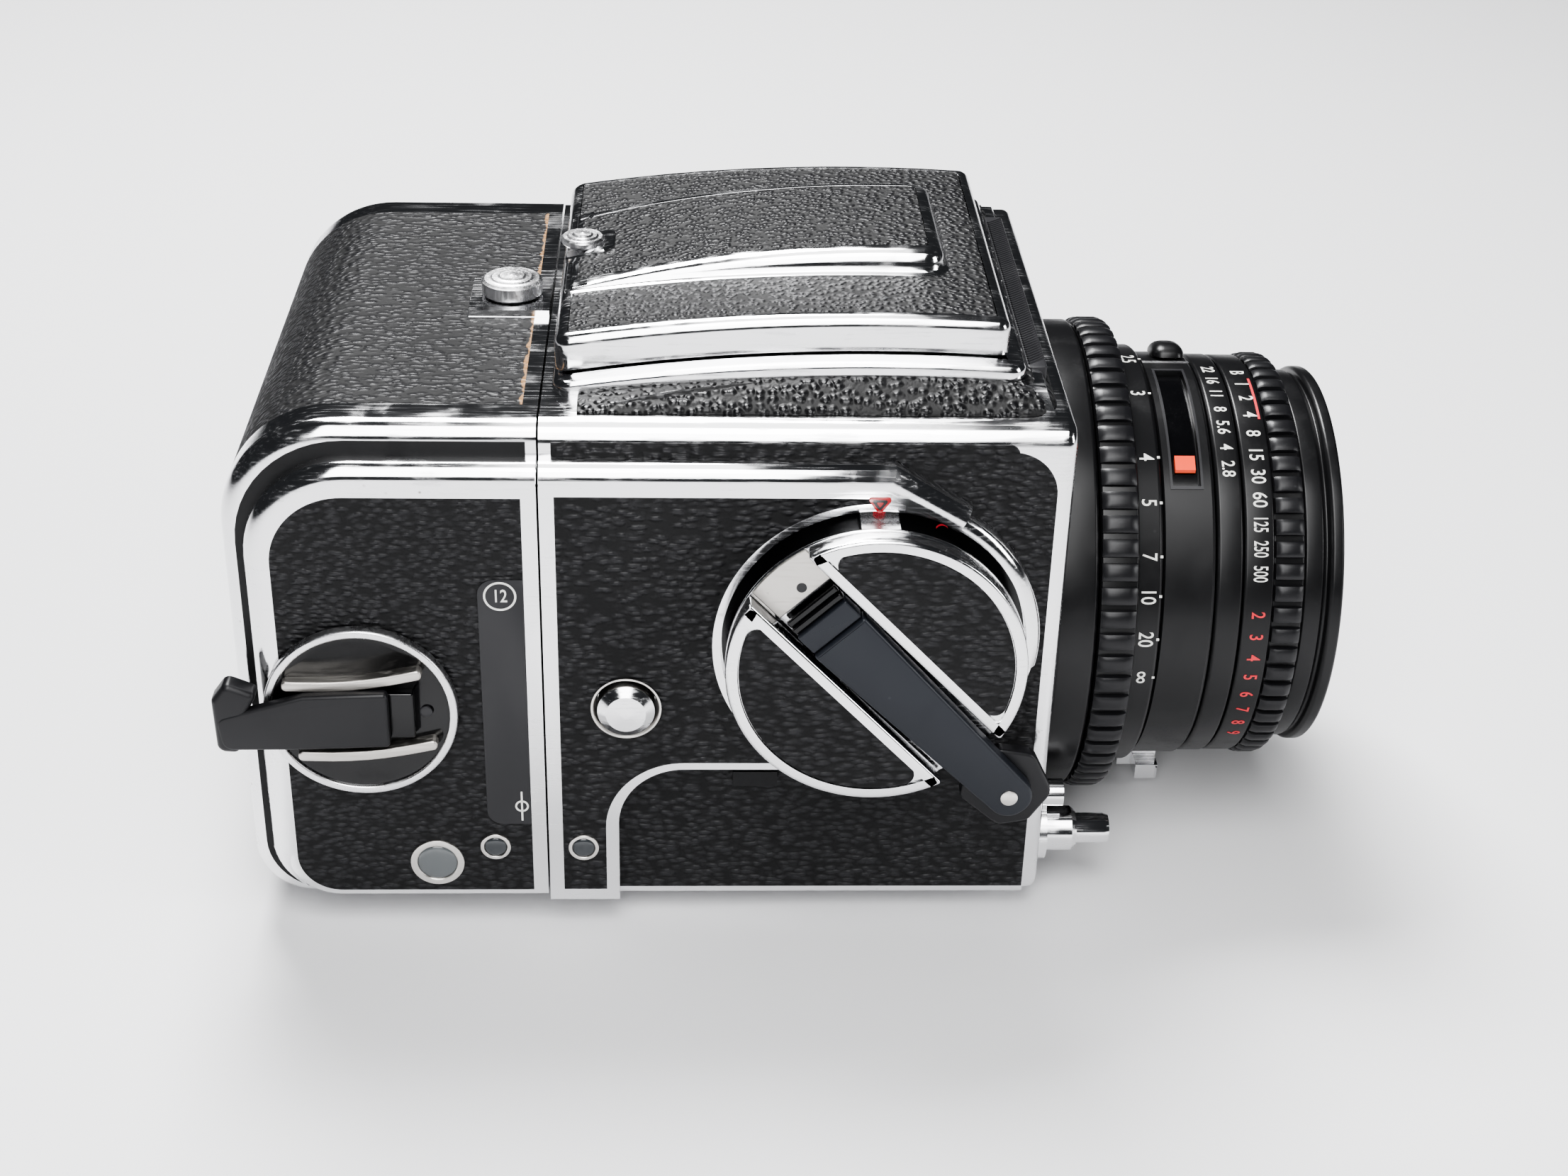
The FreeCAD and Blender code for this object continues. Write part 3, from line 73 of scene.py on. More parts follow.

# %% [markdown]
# ## Shared shader groups
# Leather and metal turn up in many places with different values, so what they share is a node group. The
# pebble group warps a Voronoi pattern with noise, so that the cells are uneven like pressed leatherette. It
# puts out a height for a Bump node, and a mask of the grooves for roughness and for colour; in the colour
# the mask is painted shade that darkens the grooves.

# %% Helpers that add nodes
def new_group(name, inputs, outputs):
    group = bpy.data.node_groups.new(name, "ShaderNodeTree")
    for label, kind, value in inputs:
        socket = group.interface.new_socket(name=label, in_out="INPUT", socket_type=kind)
        socket.default_value = value
    for label, kind in outputs:
        group.interface.new_socket(name=label, in_out="OUTPUT", socket_type=kind)
    return group, group.nodes.new("NodeGroupInput"), group.nodes.new("NodeGroupOutput")


def new_node(tree, kind, inputs=(), **settings):
    """A node with its settings; an input is a plain value, or another node's output to link."""
    node = tree.nodes.new(kind)
    for label, value in settings.items():
        setattr(node, label, value)
    for label, value in dict(inputs).items():
        if isinstance(value, bpy.types.NodeSocket):
            tree.links.new(value, node.inputs[label])
        else:
            node.inputs[label].default_value = value
    return node


def math_node(tree, operation, first, second=0.0):
    return new_node(tree, "ShaderNodeMath", {0: first, 1: second}, operation=operation).outputs[0]


def ramp(tree, value, low, high, start=0.0, end=1.0):
    """Maps a value from one span to another, smoothly."""
    inputs = dict(enumerate((value, low, high, start, end)))
    return new_node(tree, "ShaderNodeMapRange", inputs, interpolation_type="SMOOTHSTEP").outputs[0]


# %% The pebble group
pebble, ins, outs = new_group(
    "pebble grain",
    [("Size", "NodeSocketFloat", 900.0), ("Stretch", "NodeSocketVector", (1, 1, 1)),
     ("Unevenness", "NodeSocketFloat", 0.35)],
    [("Height", "NodeSocketFloat"), ("Groove", "NodeSocketFloat"), ("Patches", "NodeSocketFloat")])
here = new_node(pebble, "ShaderNodeTexCoord").outputs["Object"]
size = ins.outputs["Size"]
stretched = new_node(pebble, "ShaderNodeVectorMath", {0: here, 1: ins.outputs["Stretch"]},
                     operation="MULTIPLY")
warp_scale = math_node(pebble, "MULTIPLY", size, 0.6)
warp = new_node(pebble, "ShaderNodeTexNoise", {"Detail": 2.0, "Vector": here, "Scale": warp_scale})
by = math_node(pebble, "DIVIDE", ins.outputs["Unevenness"], size)
offset = new_node(pebble, "ShaderNodeVectorMath", {0: warp.outputs["Color"], "Scale": by}, operation="SCALE")
moved = new_node(pebble, "ShaderNodeVectorMath", {0: stretched.outputs[0], 1: offset.outputs[0]})
cell_inputs = {"Smoothness": 0.35, "Vector": moved.outputs[0], "Scale": size}
cells = new_node(pebble, "ShaderNodeTexVoronoi", cell_inputs, feature="SMOOTH_F1")
dome = ramp(pebble, cells.outputs["Distance"], 0.15, 0.75, 1.0, 0.0)
fine_scale = math_node(pebble, "MULTIPLY", size, 2.5)
fine = new_node(pebble, "ShaderNodeTexNoise", {"Detail": 3.0, "Vector": here, "Scale": fine_scale})
height = math_node(pebble, "ADD", dome, math_node(pebble, "MULTIPLY", fine.outputs["Fac"], 0.18))
patches = new_node(pebble, "ShaderNodeTexNoise", {"Scale": 60.0, "Vector": here})
pebble.links.new(height, outs.inputs["Height"])
pebble.links.new(math_node(pebble, "SUBTRACT", 1.0, dome), outs.inputs["Groove"])
pebble.links.new(patches.outputs["Fac"], outs.inputs["Patches"])
print("pebble group", len(pebble.nodes), "nodes")

# %% [markdown]
# Handled chrome is never even. This group lays fine long scratches along the camera, small dents and a
# cloudy film of handling over the metal. Its outputs steer roughness, a faint bump and the colour.

# %% The handling group
wear, ins, outs = new_group(
    "handling wear",
    [("Scratches", "NodeSocketFloat", 1.0), ("Grain Direction", "NodeSocketVector", (1, 0.04, 1))],
    [("Rough", "NodeSocketFloat"), ("Height", "NodeSocketFloat"), ("Stain", "NodeSocketFloat")])
here = new_node(wear, "ShaderNodeTexCoord").outputs["Object"]
direction = ins.outputs["Grain Direction"]
along = new_node(wear, "ShaderNodeVectorMath", {0: here, 1: direction}, operation="MULTIPLY").outputs[0]
lines = new_node(wear, "ShaderNodeTexNoise", {"Scale": 2600.0, "Detail": 4.0, "Vector": along})
cloud = new_node(wear, "ShaderNodeTexNoise", {"Scale": 140.0, "Detail": 5.0, "Distortion": 0.6,
                                              "Vector": here})
dents = new_node(wear, "ShaderNodeTexVoronoi", {"Scale": 210.0, "Vector": here})
pits = ramp(wear, dents.outputs["Distance"], 0.02, 0.07, 1.0, 0.0)
scratch = math_node(wear, "MULTIPLY", ramp(wear, lines.outputs["Fac"], 0.45, 0.75), ins.outputs["Scratches"])
film = ramp(wear, cloud.outputs["Fac"], 0.4, 0.7)
wear.links.new(math_node(wear, "ADD", math_node(wear, "MULTIPLY", scratch, 0.6),
                         math_node(wear, "MULTIPLY", film, 0.5)), outs.inputs["Rough"])
wear.links.new(math_node(wear, "SUBTRACT", math_node(wear, "MULTIPLY", scratch, 0.3), pits),
               outs.inputs["Height"])
wear.links.new(math_node(wear, "MULTIPLY", film, pits), outs.inputs["Stain"])


# %% [markdown]
# ## Finishes
# A finish is one Principled shader with values that change over the surface. A number that is the same
# all over is set on the shader itself. Each finish below is named for what it covers on the camera.

# %% Helpers that make a finish
def finish(name, colour, roughness, metallic=0.0, **sockets):
    material = bpy.data.materials.new(name)
    material.use_nodes = True
    shader = material.node_tree.nodes["Principled BSDF"]
    shader.inputs["Base Color"].default_value = (*colour, 1.0)
    shader.inputs["Roughness"].default_value = roughness
    shader.inputs["Metallic"].default_value = metallic
    for label, value in sockets.items():
        shader.inputs[label.replace("_", " ")].default_value = value
    return material, material.node_tree, shader


def placed(tree, group, **values):
    inputs = {label.replace("_", " "): value for label, value in values.items()}
    return new_node(tree, "ShaderNodeGroup", inputs, node_tree=group)


def bump(tree, shader, height, depth):
    node = new_node(tree, "ShaderNodeBump", {"Strength": 1.0, "Distance": depth * MM, "Height": height})
    tree.links.new(node.outputs[0], shader.inputs["Normal"])


def mixed(tree, factor, first, second):
    """A colour between two, by a value that changes over the surface."""
    colours = [(*value, 1.0) if isinstance(value, tuple) else value for value in (first, second)]
    node = new_node(tree, "ShaderNodeMix", {6: colours[0], 7: colours[1]}, data_type="RGBA")
    tree.links.new(factor, node.inputs["Factor"])
    return node.outputs[2]


# %% Metal, leather and paint
def metal(name, colour, low, high, scratches=1.0, direction=(1, 0.04, 1), depth=0.004,
          stain=(0.25, 0.22, 0.2)):
    """A metal whose roughness runs from low to high where it has been handled."""
    material, tree, shader = finish(name, colour, low, 1.0)
    marks = placed(tree, wear, Scratches=scratches, Grain_Direction=direction)
    tree.links.new(ramp(tree, marks.outputs["Rough"], 0.0, 1.0, low, high), shader.inputs["Roughness"])
    tree.links.new(mixed(tree, marks.outputs["Stain"], colour, stain), shader.inputs["Base Color"])
    bump(tree, shader, marks.outputs["Height"], depth)
    return material


def leather(name, size, stretch, depth, rough, unevenness=0.35, tone=0.013, gloss=0.5):
    """Black leatherette: glossy pebbles and duller grooves, with the grooves painted darker as painted shade.
    """
    material, tree, shader = finish(name, (tone, tone, tone * 1.1), rough, Specular_IOR_Level=gloss)
    grain = placed(tree, pebble, Size=size, Stretch=stretch, Unevenness=unevenness)
    # Painted shade: the colour is lighter on the pebble tops and darker in the grooves between them.
    tree.links.new(mixed(tree, grain.outputs["Groove"], (tone * 1.5, tone * 1.5, tone * 1.7),
                         (tone * 0.4, tone * 0.4, tone * 0.45)), shader.inputs["Base Color"])
    worn = math_node(tree, "MULTIPLY", grain.outputs["Patches"], 0.22)
    tree.links.new(math_node(tree, "ADD", ramp(tree, grain.outputs["Groove"], 0, 1, rough - 0.1,
                                               rough + 0.15), worn),
                   shader.inputs["Roughness"])
    bump(tree, shader, grain.outputs["Height"], depth)
    return material


def painted(name, colour, low, high, speck=0.0, gloss=0.5):
    """A painted or anodised finish with faint handling marks."""
    material, tree, shader = finish(name, colour, low, Specular_IOR_Level=gloss)
    marks = placed(tree, wear, Scratches=0.4, Grain_Direction=(1, 1, 1))
    tree.links.new(ramp(tree, marks.outputs["Rough"], 0.0, 1.0, low, high), shader.inputs["Roughness"])
    paler = tuple(min(1.0, c * 1.6 + speck) for c in colour)
    tree.links.new(mixed(tree, marks.outputs["Stain"], colour, paler), shader.inputs["Base Color"])
    bump(tree, shader, marks.outputs["Height"], 0.002)
    return material


# %% The finishes themselves
chrome = metal("polished chrome", (0.82, 0.82, 0.83), 0.10, 0.34)
satin = metal("satin chrome", (0.74, 0.74, 0.75), 0.26, 0.48, direction=(1, 1, 0.05))
brushed = metal("brushed nickel", (0.7, 0.68, 0.65), 0.28, 0.5, direction=(1, 0.3, 0.1), depth=0.008)
worn_silver = metal("worn silver", (0.6, 0.58, 0.55), 0.38, 0.6, scratches=1.6, depth=0.02,
                    stain=(0.1, 0.09, 0.08))
steel = metal("plain steel", (0.56, 0.56, 0.58), 0.3, 0.5)
side_leather = leather("side leatherette", 760, (1.0, 0.7, 1.6), 0.3, 0.4, 0.7)
lid_grain = leather("lid leatherette", 1050, (1, 1, 1), 0.25, 0.36, 0.4, gloss=0.6)
shoulder_grain = leather("shoulder leatherette", 780, (1, 1, 1), 0.34, 0.27, 0.3, 0.01, gloss=0.65)
back_grain = leather("magazine leatherette", 820, (1.3, 0.75, 1.6), 0.24, 0.4, 0.6)
inset_grain = leather("crank leatherette", 720, (1.0, 0.72, 1.7), 0.28, 0.42, 0.7)
anodised = painted("black anodised", (0.012, 0.012, 0.013), 0.3, 0.46, speck=0.01)
rib_black = painted("ribbed black", (0.016, 0.016, 0.018), 0.34, 0.5, speck=0.02)
lever_black = painted("blue black lever", (0.02, 0.023, 0.03), 0.36, 0.52, speck=0.02)
black_paint = painted("matt black paint", (0.008, 0.008, 0.009), 0.5, 0.7)
gloss_black = painted("gloss black", (0.006, 0.006, 0.007), 0.12, 0.3, gloss=0.6)
plate_grey = painted("dark grey plate", (0.035, 0.035, 0.038), 0.34, 0.5, speck=0.03)
white_paint = painted("white engraving", (0.72, 0.72, 0.69), 0.45, 0.6)
red_paint = painted("red engraving", (0.72, 0.06, 0.07), 0.4, 0.55)
pointer_red = painted("pointer red", (0.85, 0.11, 0.05), 0.35, 0.5)
enamel_red = painted("dark red enamel", (0.42, 0.01, 0.012), 0.1, 0.2, gloss=0.7)
glass, tree, shader = finish("coated glass", (0.9, 0.93, 1.0), 0.02, 0.0, IOR=1.52, Transmission_Weight=1.0)
shader.inputs["Coat Weight"].default_value = 0.5
shader.inputs["Coat Tint"].default_value = (0.75, 0.8, 1.0, 1.0)
mirror_finish, tree, shader = finish("mirror", (0.9, 0.91, 0.92), 0.02, 1.0)
ground_glass, tree, shader = finish("ground glass", (0.8, 0.82, 0.8), 0.5, 0.0, Transmission_Weight=0.6)
window_dark = painted("window", (0.05, 0.055, 0.06), 0.08, 0.16, speck=0.02, gloss=0.8)
window_grey = painted("counter window", (0.13, 0.14, 0.145), 0.1, 0.2, speck=0.05, gloss=0.8)
print(len(bpy.data.materials), "finishes")

# %% [markdown]
# The leather at the joint has worn to its tan backing. The magazine's finish gets that edge from a mask
# on the place along the camera, made ragged with noise. A second mask keeps it to the top.

# %% A worn tan edge on the magazine's leather
tree = back_grain.node_tree
shader = tree.nodes["Principled BSDF"]
here = new_node(tree, "ShaderNodeTexCoord").outputs["Object"]
split = new_node(tree, "ShaderNodeSeparateXYZ", {0: here})
ragged = new_node(tree, "ShaderNodeTexNoise", {"Scale": 420.0, "Detail": 6.0, "Vector": here})
edge_y = joint_y + 2.4 * MM
reach = math_node(tree, "MULTIPLY", ragged.outputs["Fac"], 1.7 * MM)
from_edge = math_node(tree, "SUBTRACT", math_node(tree, "SUBTRACT", split.outputs["Y"], edge_y), reach)
near_joint = ramp(tree, from_edge, -0.55 * MM, -0.35 * MM, 1.0, 0.0)
on_top = ramp(tree, math_node(tree, "ABSOLUTE", split.outputs["X"]), 44.0 * MM, 44.4 * MM, 1.0, 0.0)
mask = math_node(tree, "MULTIPLY", near_joint, on_top)
plain = shader.inputs["Base Color"].links[0].from_socket
tree.links.new(mixed(tree, mask, plain, (0.33, 0.19, 0.09)), shader.inputs["Base Color"])

# %% [markdown]
# ## The frame's own nodes
# A CAD node whose shape is right stays, with a better finish. Its triangles are loose, so a small Geometry
# Nodes tree merges them and smooths all but the sharp edges. That makes round rails look round.

# %% Smooth the frame's nodes
def new_tree(name, *inputs):
    """A Geometry Nodes tree with named inputs: the tree, what it is given and what it gives."""
    tree = bpy.data.node_groups.new(name, "GeometryNodeTree")
    for label, kind in (("Geometry", "Geometry"), *inputs):
        tree.interface.new_socket(name=label, in_out="INPUT", socket_type="NodeSocket" + kind)
    tree.interface.new_socket(name="Geometry", in_out="OUTPUT", socket_type="NodeSocketGeometry")
    return tree, new_node(tree, "NodeGroupInput").outputs, new_node(tree, "NodeGroupOutput").inputs


smooth_tree, given, gives = new_tree("smooth round faces", ("Sharp Angle", "Float"))
smooth_tree.interface.items_tree["Sharp Angle"].default_value = math.radians(28)
merged = new_node(smooth_tree, "GeometryNodeMergeByDistance",
                  {"Geometry": given["Geometry"], "Distance": 1e-6})
rounded = new_node(smooth_tree, "GeometryNodeSetShadeSmooth", {0: merged.outputs[0]})
fold = new_node(smooth_tree, "GeometryNodeInputMeshEdgeAngle").outputs["Unsigned Angle"]
sharp = new_node(smooth_tree, "FunctionNodeCompare", {0: fold, 1: given["Sharp Angle"]},
                 operation="GREATER_THAN")
edge_inputs = {0: rounded.outputs[0], "Selection": sharp.outputs[0], "Shade Smooth": False}
edges = new_node(smooth_tree, "GeometryNodeSetShadeSmooth", edge_inputs, domain="EDGE")
smooth_tree.links.new(edges.outputs[0], gives[0])


# %% Each node's finish
NODE_FINISHES = {
    "body_shell": chrome, "front_frame": chrome, "right_cover": chrome, "magazine_shell": chrome,
    "magazine_cover": chrome, "crank_catch": satin, "release_collar": chrome,
    "release_button": chrome, "accessory_rail": satin, "insert_key": satin, "dark_slide": satin,
    "lens_mount": satin, "sync_lever": chrome, "prerelease_button": chrome, "base_screws": steel,
    "wind_shaft": steel, "drive_gear": steel, "take_up_spool": black_paint, "supply_spool": black_paint,
    "body_leathers": side_leather, "magazine_leathers": back_grain,
    "mirror_box": black_paint, "screen_frame": black_paint, "left_flap": black_paint,
    "right_flap": black_paint, "rear_flap": black_paint, "magnifier_arm": black_paint,
    "upper_door": black_paint, "lower_door": black_paint, "mirror_carrier": black_paint,
    "tripod_plate": satin, "pressure_plate": black_paint, "front_glass": glass, "rear_glass": glass,
    "magnifier_lens": glass, "mirror_glass": mirror_finish, "focusing_screen": ground_glass,
    "depth_pointer": pointer_red, "shutter_blades": steel, "release_lock": chrome, "time_lever": black_paint,
}
for node, material in NODE_FINISHES.items():
    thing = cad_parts[node]
    thing.data.materials.clear()
    thing.data.materials.append(material)
    modifier = thing.modifiers.new("smooth round faces", "NODES")
    modifier.node_group = smooth_tree
print(len(NODE_FINISHES), "frame nodes keep their shape")


# %% [markdown]
# ## Tools for new pieces
# Most new pieces are turned, or follow an outline in rings. A turned piece is a profile spun about an axis.
# An outlined piece is a stack of rings, each one the outline moved inward and up a little, so that its
# edges come out rounded. Both end as one mesh.


def linked(name, data):
    thing = bpy.data.objects.new(name, data)
    bpy.context.scene.collection.objects.link(thing)
    return thing


def make_piece(name, verts, faces, material, body, sharp=32, recalc=True):
    mesh = bpy.data.meshes.new(name)
    mesh.from_pydata([tuple(v) for v in verts], [], faces)
    built = bmesh.new()
    built.from_mesh(mesh)
    bmesh.ops.remove_doubles(built, verts=built.verts, dist=1e-7)
    bmesh.ops.dissolve_degenerate(built, edges=built.edges, dist=1e-7)
    if recalc:
        bmesh.ops.recalc_face_normals(built, faces=built.faces)
    built.to_mesh(mesh)
    built.free()
    mesh.shade_smooth()
    mesh.set_sharp_from_angle(angle=math.radians(sharp))
    mesh.materials.append(material)
    thing = linked(name, mesh)
    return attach(thing, body) if body else thing


def ring_faces(count, rings, closed_stack=False, caps=(True, True)):
    """Faces between rings of equal count; the stack may close on itself, or have capped ends."""
    faces = []
    for level in range(rings if closed_stack else rings - 1):
        low, high = level * count, (level + 1) % rings * count
        for i in range(count):
            j = (i + 1) % count
            faces.append((low + i, low + j, high + j, high + i))
    if not closed_stack:
        if caps[0]:
            faces.append(tuple(range(count))[::-1])
        if caps[1]:
            faces.append(tuple(range((rings - 1) * count, rings * count)))
    return faces


# %% Turned pieces
class Axle:
    """A turning axis: a middle point, the way out along the axis, and the way that angle zero points."""

    def __init__(self, middle, out, zero):
        self.middle, self.out, self.zero = middle, Vector(out), Vector(zero)
        self.quarter = self.out.cross(self.zero)

    def point(self, radius, angle, out):
        spoke = self.zero * math.cos(angle) + self.quarter * math.sin(angle)
        return self.middle + spoke * radius * MM + self.out * out * MM


# %% The axles of lens and cranks
def outward(middle):
    """An axle that points out of the crank's side, with angle zero up."""
    return Axle(middle, (-1, 0, 0), (0, 0, 1))


def node_middle(node):
    """The middle of a frame node, moved to the plane through the camera's middle."""
    low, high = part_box(node)
    return Vector((0, (low.y + high.y) / 2, (low.z + high.z) / 2))


def node_top(node):
    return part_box(node)[1].z / MM - under_z / MM


lens_axle = Axle(at(0, 0, lens_height), (0, -1, 0), (0, 0, 1))
crank_middle, wheel_middle = node_middle("crank_disc"), node_middle("film_crank_wheel")
crank_axle, wheel_axle = outward(crank_middle), outward(wheel_middle)
crank_forward = (joint_y - crank_middle.y) / MM
crank_height = (crank_middle.z - under_z) / MM
wheel_forward = (joint_y - wheel_middle.y) / MM
wheel_height = (wheel_middle.z - under_z) / MM


# %% Spin a profile, and round its corners
def turn(name, axle, profile, material, body, count=160, closed=True, sharp=32):
    """Spins a profile of (radius, out) about an axle. A closed profile makes a ring."""
    verts = [axle.point(radius, 2 * math.pi * i / count, out) for radius,
             out in profile for i in range(count)]
    faces = ring_faces(count, len(profile), closed_stack=closed)
    return make_piece(name, verts, faces, material, body, sharp)


def bevelled(profile, size, steps=3):
    """Rounds the corners of a closed profile, so that turned edges catch the light."""
    rounded_profile = []
    count = len(profile)
    for i, corner in enumerate(profile):
        before, after = Vector(profile[i - 1]), Vector(profile[(i + 1) % count])
        corner = Vector(corner)
        into, away = before - corner, after - corner
        reach = min(size, into.length * 0.45, away.length * 0.45)
        start, end = corner + into.normalized() * reach, corner + away.normalized() * reach
        for step in range(steps + 1):
            share = step / steps
            rounded_profile.append(tuple(start.lerp(corner, share).lerp(corner.lerp(end, share), share)))
    return rounded_profile


# %% Outlines and stacks of rings
def arc_corner(corner, before, after, radius, steps):
    """Points round one corner of an outline."""
    corner, before, after = Vector(corner), Vector(before), Vector(after)
    into, away = (before - corner).normalized(), (after - corner).normalized()
    angle = into.angle(away)
    if not radius:
        return [corner]
    reach = radius / math.tan(angle / 2)
    middle = corner + (into + away).normalized() * radius / math.sin(angle / 2)
    first, last = corner + into * reach - middle, corner + away * reach - middle
    turn_angle = first.angle_signed(last)
    points = []
    for step in range(steps + 1):
        bend = -turn_angle * step / steps
        points.append(middle + Vector((first.x * math.cos(bend) - first.y * math.sin(bend),
                                       first.x * math.sin(bend) + first.y * math.cos(bend))))
    return points


def outline(corners, radii, steps=8):
    """A closed outline from corner points and a radius for each."""
    if isinstance(radii, (int, float)):
        radii = [radii] * len(corners)
    points = []
    for i, corner in enumerate(corners):
        points += arc_corner(corner, corners[i - 1], corners[(i + 1) % len(corners)], radii[i], steps)
    return points


# %% Rings of an outline
def box_outline(back, low, front, high, radii, steps):
    """A rectangle with a radius for its corners."""
    return outline([(back, low), (front, low), (front, high), (back, high)], radii, steps)


def inset(points, distance):
    """Moves each point of a closed outline inward."""
    area = sum(a.x * b.y - b.x * a.y for a, b in zip(points, points[1:] + points[:1]))
    side = 1 if area > 0 else -1
    moved = []
    count = len(points)
    for i, point in enumerate(points):
        before, after = points[i - 1], points[(i + 1) % count]
        first, second = point - before, after - point
        if first.length < 1e-9:
            first = before - points[i - 2]
        if second.length < 1e-9:
            second = points[(i + 2) % count] - after
        first, second = first.normalized(), second.normalized()
        normal = Vector((-first.y - second.y, first.x + second.x)).normalized()
        share = max(0.35, normal.dot(Vector((-first.y, first.x))))
        moved.append(point + normal * side * distance / share)
    return moved


def stack(name, points, levels, place, material, body, sharp=32, closed=False):
    """Rings of an outline, each inset by a distance and lifted to a height; place turns them into points."""
    rings = [inset(points, distance) if distance else points for distance, height in levels]
    verts = [place(point, height) for ring, (distance, height) in zip(rings, levels) for point in ring]
    return make_piece(name, verts, ring_faces(len(points), len(levels), closed), material, body, sharp)


def rounded_levels(low, high, radius, steps=4, foot=0.0):
    """Levels of a slab with a rounded upper edge."""
    levels = [(foot, low), (0.0, low + foot), (0.0, high - radius)]
    for step in range(1, steps + 1):
        angle = math.pi / 2 * step / steps
        levels.append((radius * (1 - math.cos(angle)), high - radius + radius * math.sin(angle)))
    return levels[1:] if not foot else levels


def on_side(point, out):
    """An outline of (forward, height) on the crank's side, at a distance out from the middle."""
    return at(-out, point.x, point.y)


# %% [markdown]
# ## Repeating ribs
# The grip rings have dozens of equal rounded ribs. One rib is built once, and a Geometry Nodes tree
# instances it round a circle and turns each copy to face outward. Changing the count changes the whole ring.

# %% The tree that sets ribs round a ring
def copies_tree(name, part, inputs, add_points):
    """Copies of one part on points that a function adds, made real and given a finish."""
    tree, given, gives = new_tree(name, (part, "Object"), ("Count", "Int"), *inputs, ("Finish", "Material"))
    shape = new_node(tree, "GeometryNodeObjectInfo", {"Object": given[part]}).outputs["Geometry"]
    copies = new_node(tree, "GeometryNodeInstanceOnPoints", {"Instance": shape, **add_points(tree, given)})
    real = new_node(tree, "GeometryNodeRealizeInstances", {0: copies.outputs[0]})
    coat = new_node(tree, "GeometryNodeSetMaterial", {0: real.outputs[0], "Material": given["Finish"]})
    tree.links.new(coat.outputs[0], gives[0])
    return tree


def circle_points(tree, given):
    """Points round a circle, each copy turned to face outward."""
    ring = new_node(tree, "GeometryNodeMeshCircle", {"Vertices": given["Count"], "Radius": given["Radius"]})
    where = new_node(tree, "GeometryNodeInputPosition").outputs[0]
    facing = new_node(tree, "FunctionNodeAlignEulerToVector", {"Vector": where}, axis="X", pivot_axis="Z")
    return {"Points": ring.outputs[0], "Rotation": facing.outputs[0]}


rib_ring = copies_tree("ribs round a ring", "Rib", [("Radius", "Float")], circle_points)


# %% From a tree to a plain mesh
def set_input(modifier, label, value):
    """Sets a modifier's input by the socket's identifier."""
    for item in modifier.node_group.interface.items_tree:
        if item.item_type == "SOCKET" and item.in_out == "INPUT" and item.name == label:
            modifier[item.identifier] = value


def plain_result(name, maker):
    """The evaluated result as a plain mesh."""
    depsgraph = bpy.context.evaluated_depsgraph_get()
    mesh = bpy.data.meshes.new_from_object(maker.evaluated_get(depsgraph))
    mesh.name = name
    bpy.data.objects.remove(maker)
    return mesh


def copied(name, tree, one, values, body, place=None):
    """Runs a tree of copies to one plain mesh on a body, moved to its place if it has one."""
    maker = linked(name + "_maker", bpy.data.meshes.new(name + "_empty"))
    modifier = maker.modifiers.new("copies", "NODES")
    modifier.node_group = tree
    for label, value in values.items():
        set_input(modifier, label, value)
    maker.update_tag()
    bpy.context.view_layer.update()
    mesh = plain_result(name, maker)
    bpy.data.objects.remove(one)
    if place:
        mesh.transform(place)
    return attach(linked(name, mesh), body)


# %% One rounded rib, copied
def ribs(name, axle, count, radius, out, size, material, body, end_round=True):
    """Ribs of a size (width round the ring, length along the axis, height) centred at a distance out."""
    width, length, height = size
    verts, rows, columns = [], 6, 9
    for row in range(rows):
        share = (0.0, 0.1, 0.25, 0.75, 0.9, 1.0)[row]
        end = (0.45, 0.8, 1.0, 1.0, 0.8, 0.45)[row] if end_round else 1.0
        for column in range(columns):
            angle = math.pi * column / (columns - 1)
            verts.append(Vector((height * end * math.sin(angle) ** 0.38 * MM - 0.15 * MM,
                                 width / 2 * math.cos(angle) * MM,
                                 (share - 0.5) * length * MM)))
    faces = [(r * columns + c, r * columns + c + 1, (r + 1) * columns + c + 1, (r + 1) * columns + c)
             for r in range(rows - 1) for c in range(columns - 1)]
    faces += [tuple(range(columns)), tuple(range((rows - 1) * columns, rows * columns))[::-1]]
    faces += [(r * columns, (r + 1) * columns, (r + 2) * columns - 1, (r + 1) * columns - 1)
              for r in range(rows - 1)]
    rib = make_piece(name + "_rib", verts, faces, material, None, 40)
    turn_to = Matrix((axle.zero, axle.quarter, axle.out)).transposed().to_4x4()
    values = {"Rib": rib, "Count": count, "Radius": radius * MM, "Finish": material}
    return copied(name, rib_ring, rib, values, body,
                  Matrix.Translation(axle.middle + axle.out * out * MM) @ turn_to)


# %% [markdown]
# ## The lens rings
# The lens is a stack of black anodised rings. Each is turned from a profile with small rounded edges,
# because a thin line of light on an edge is what makes black metal look like metal.

# %% Rear barrel, focusing ring and front rings
def lens_ring(name, body, profile, size=0.2, material=anodised, count=192):
    return turn(name, lens_axle, bevelled(profile, size), material, body, count)


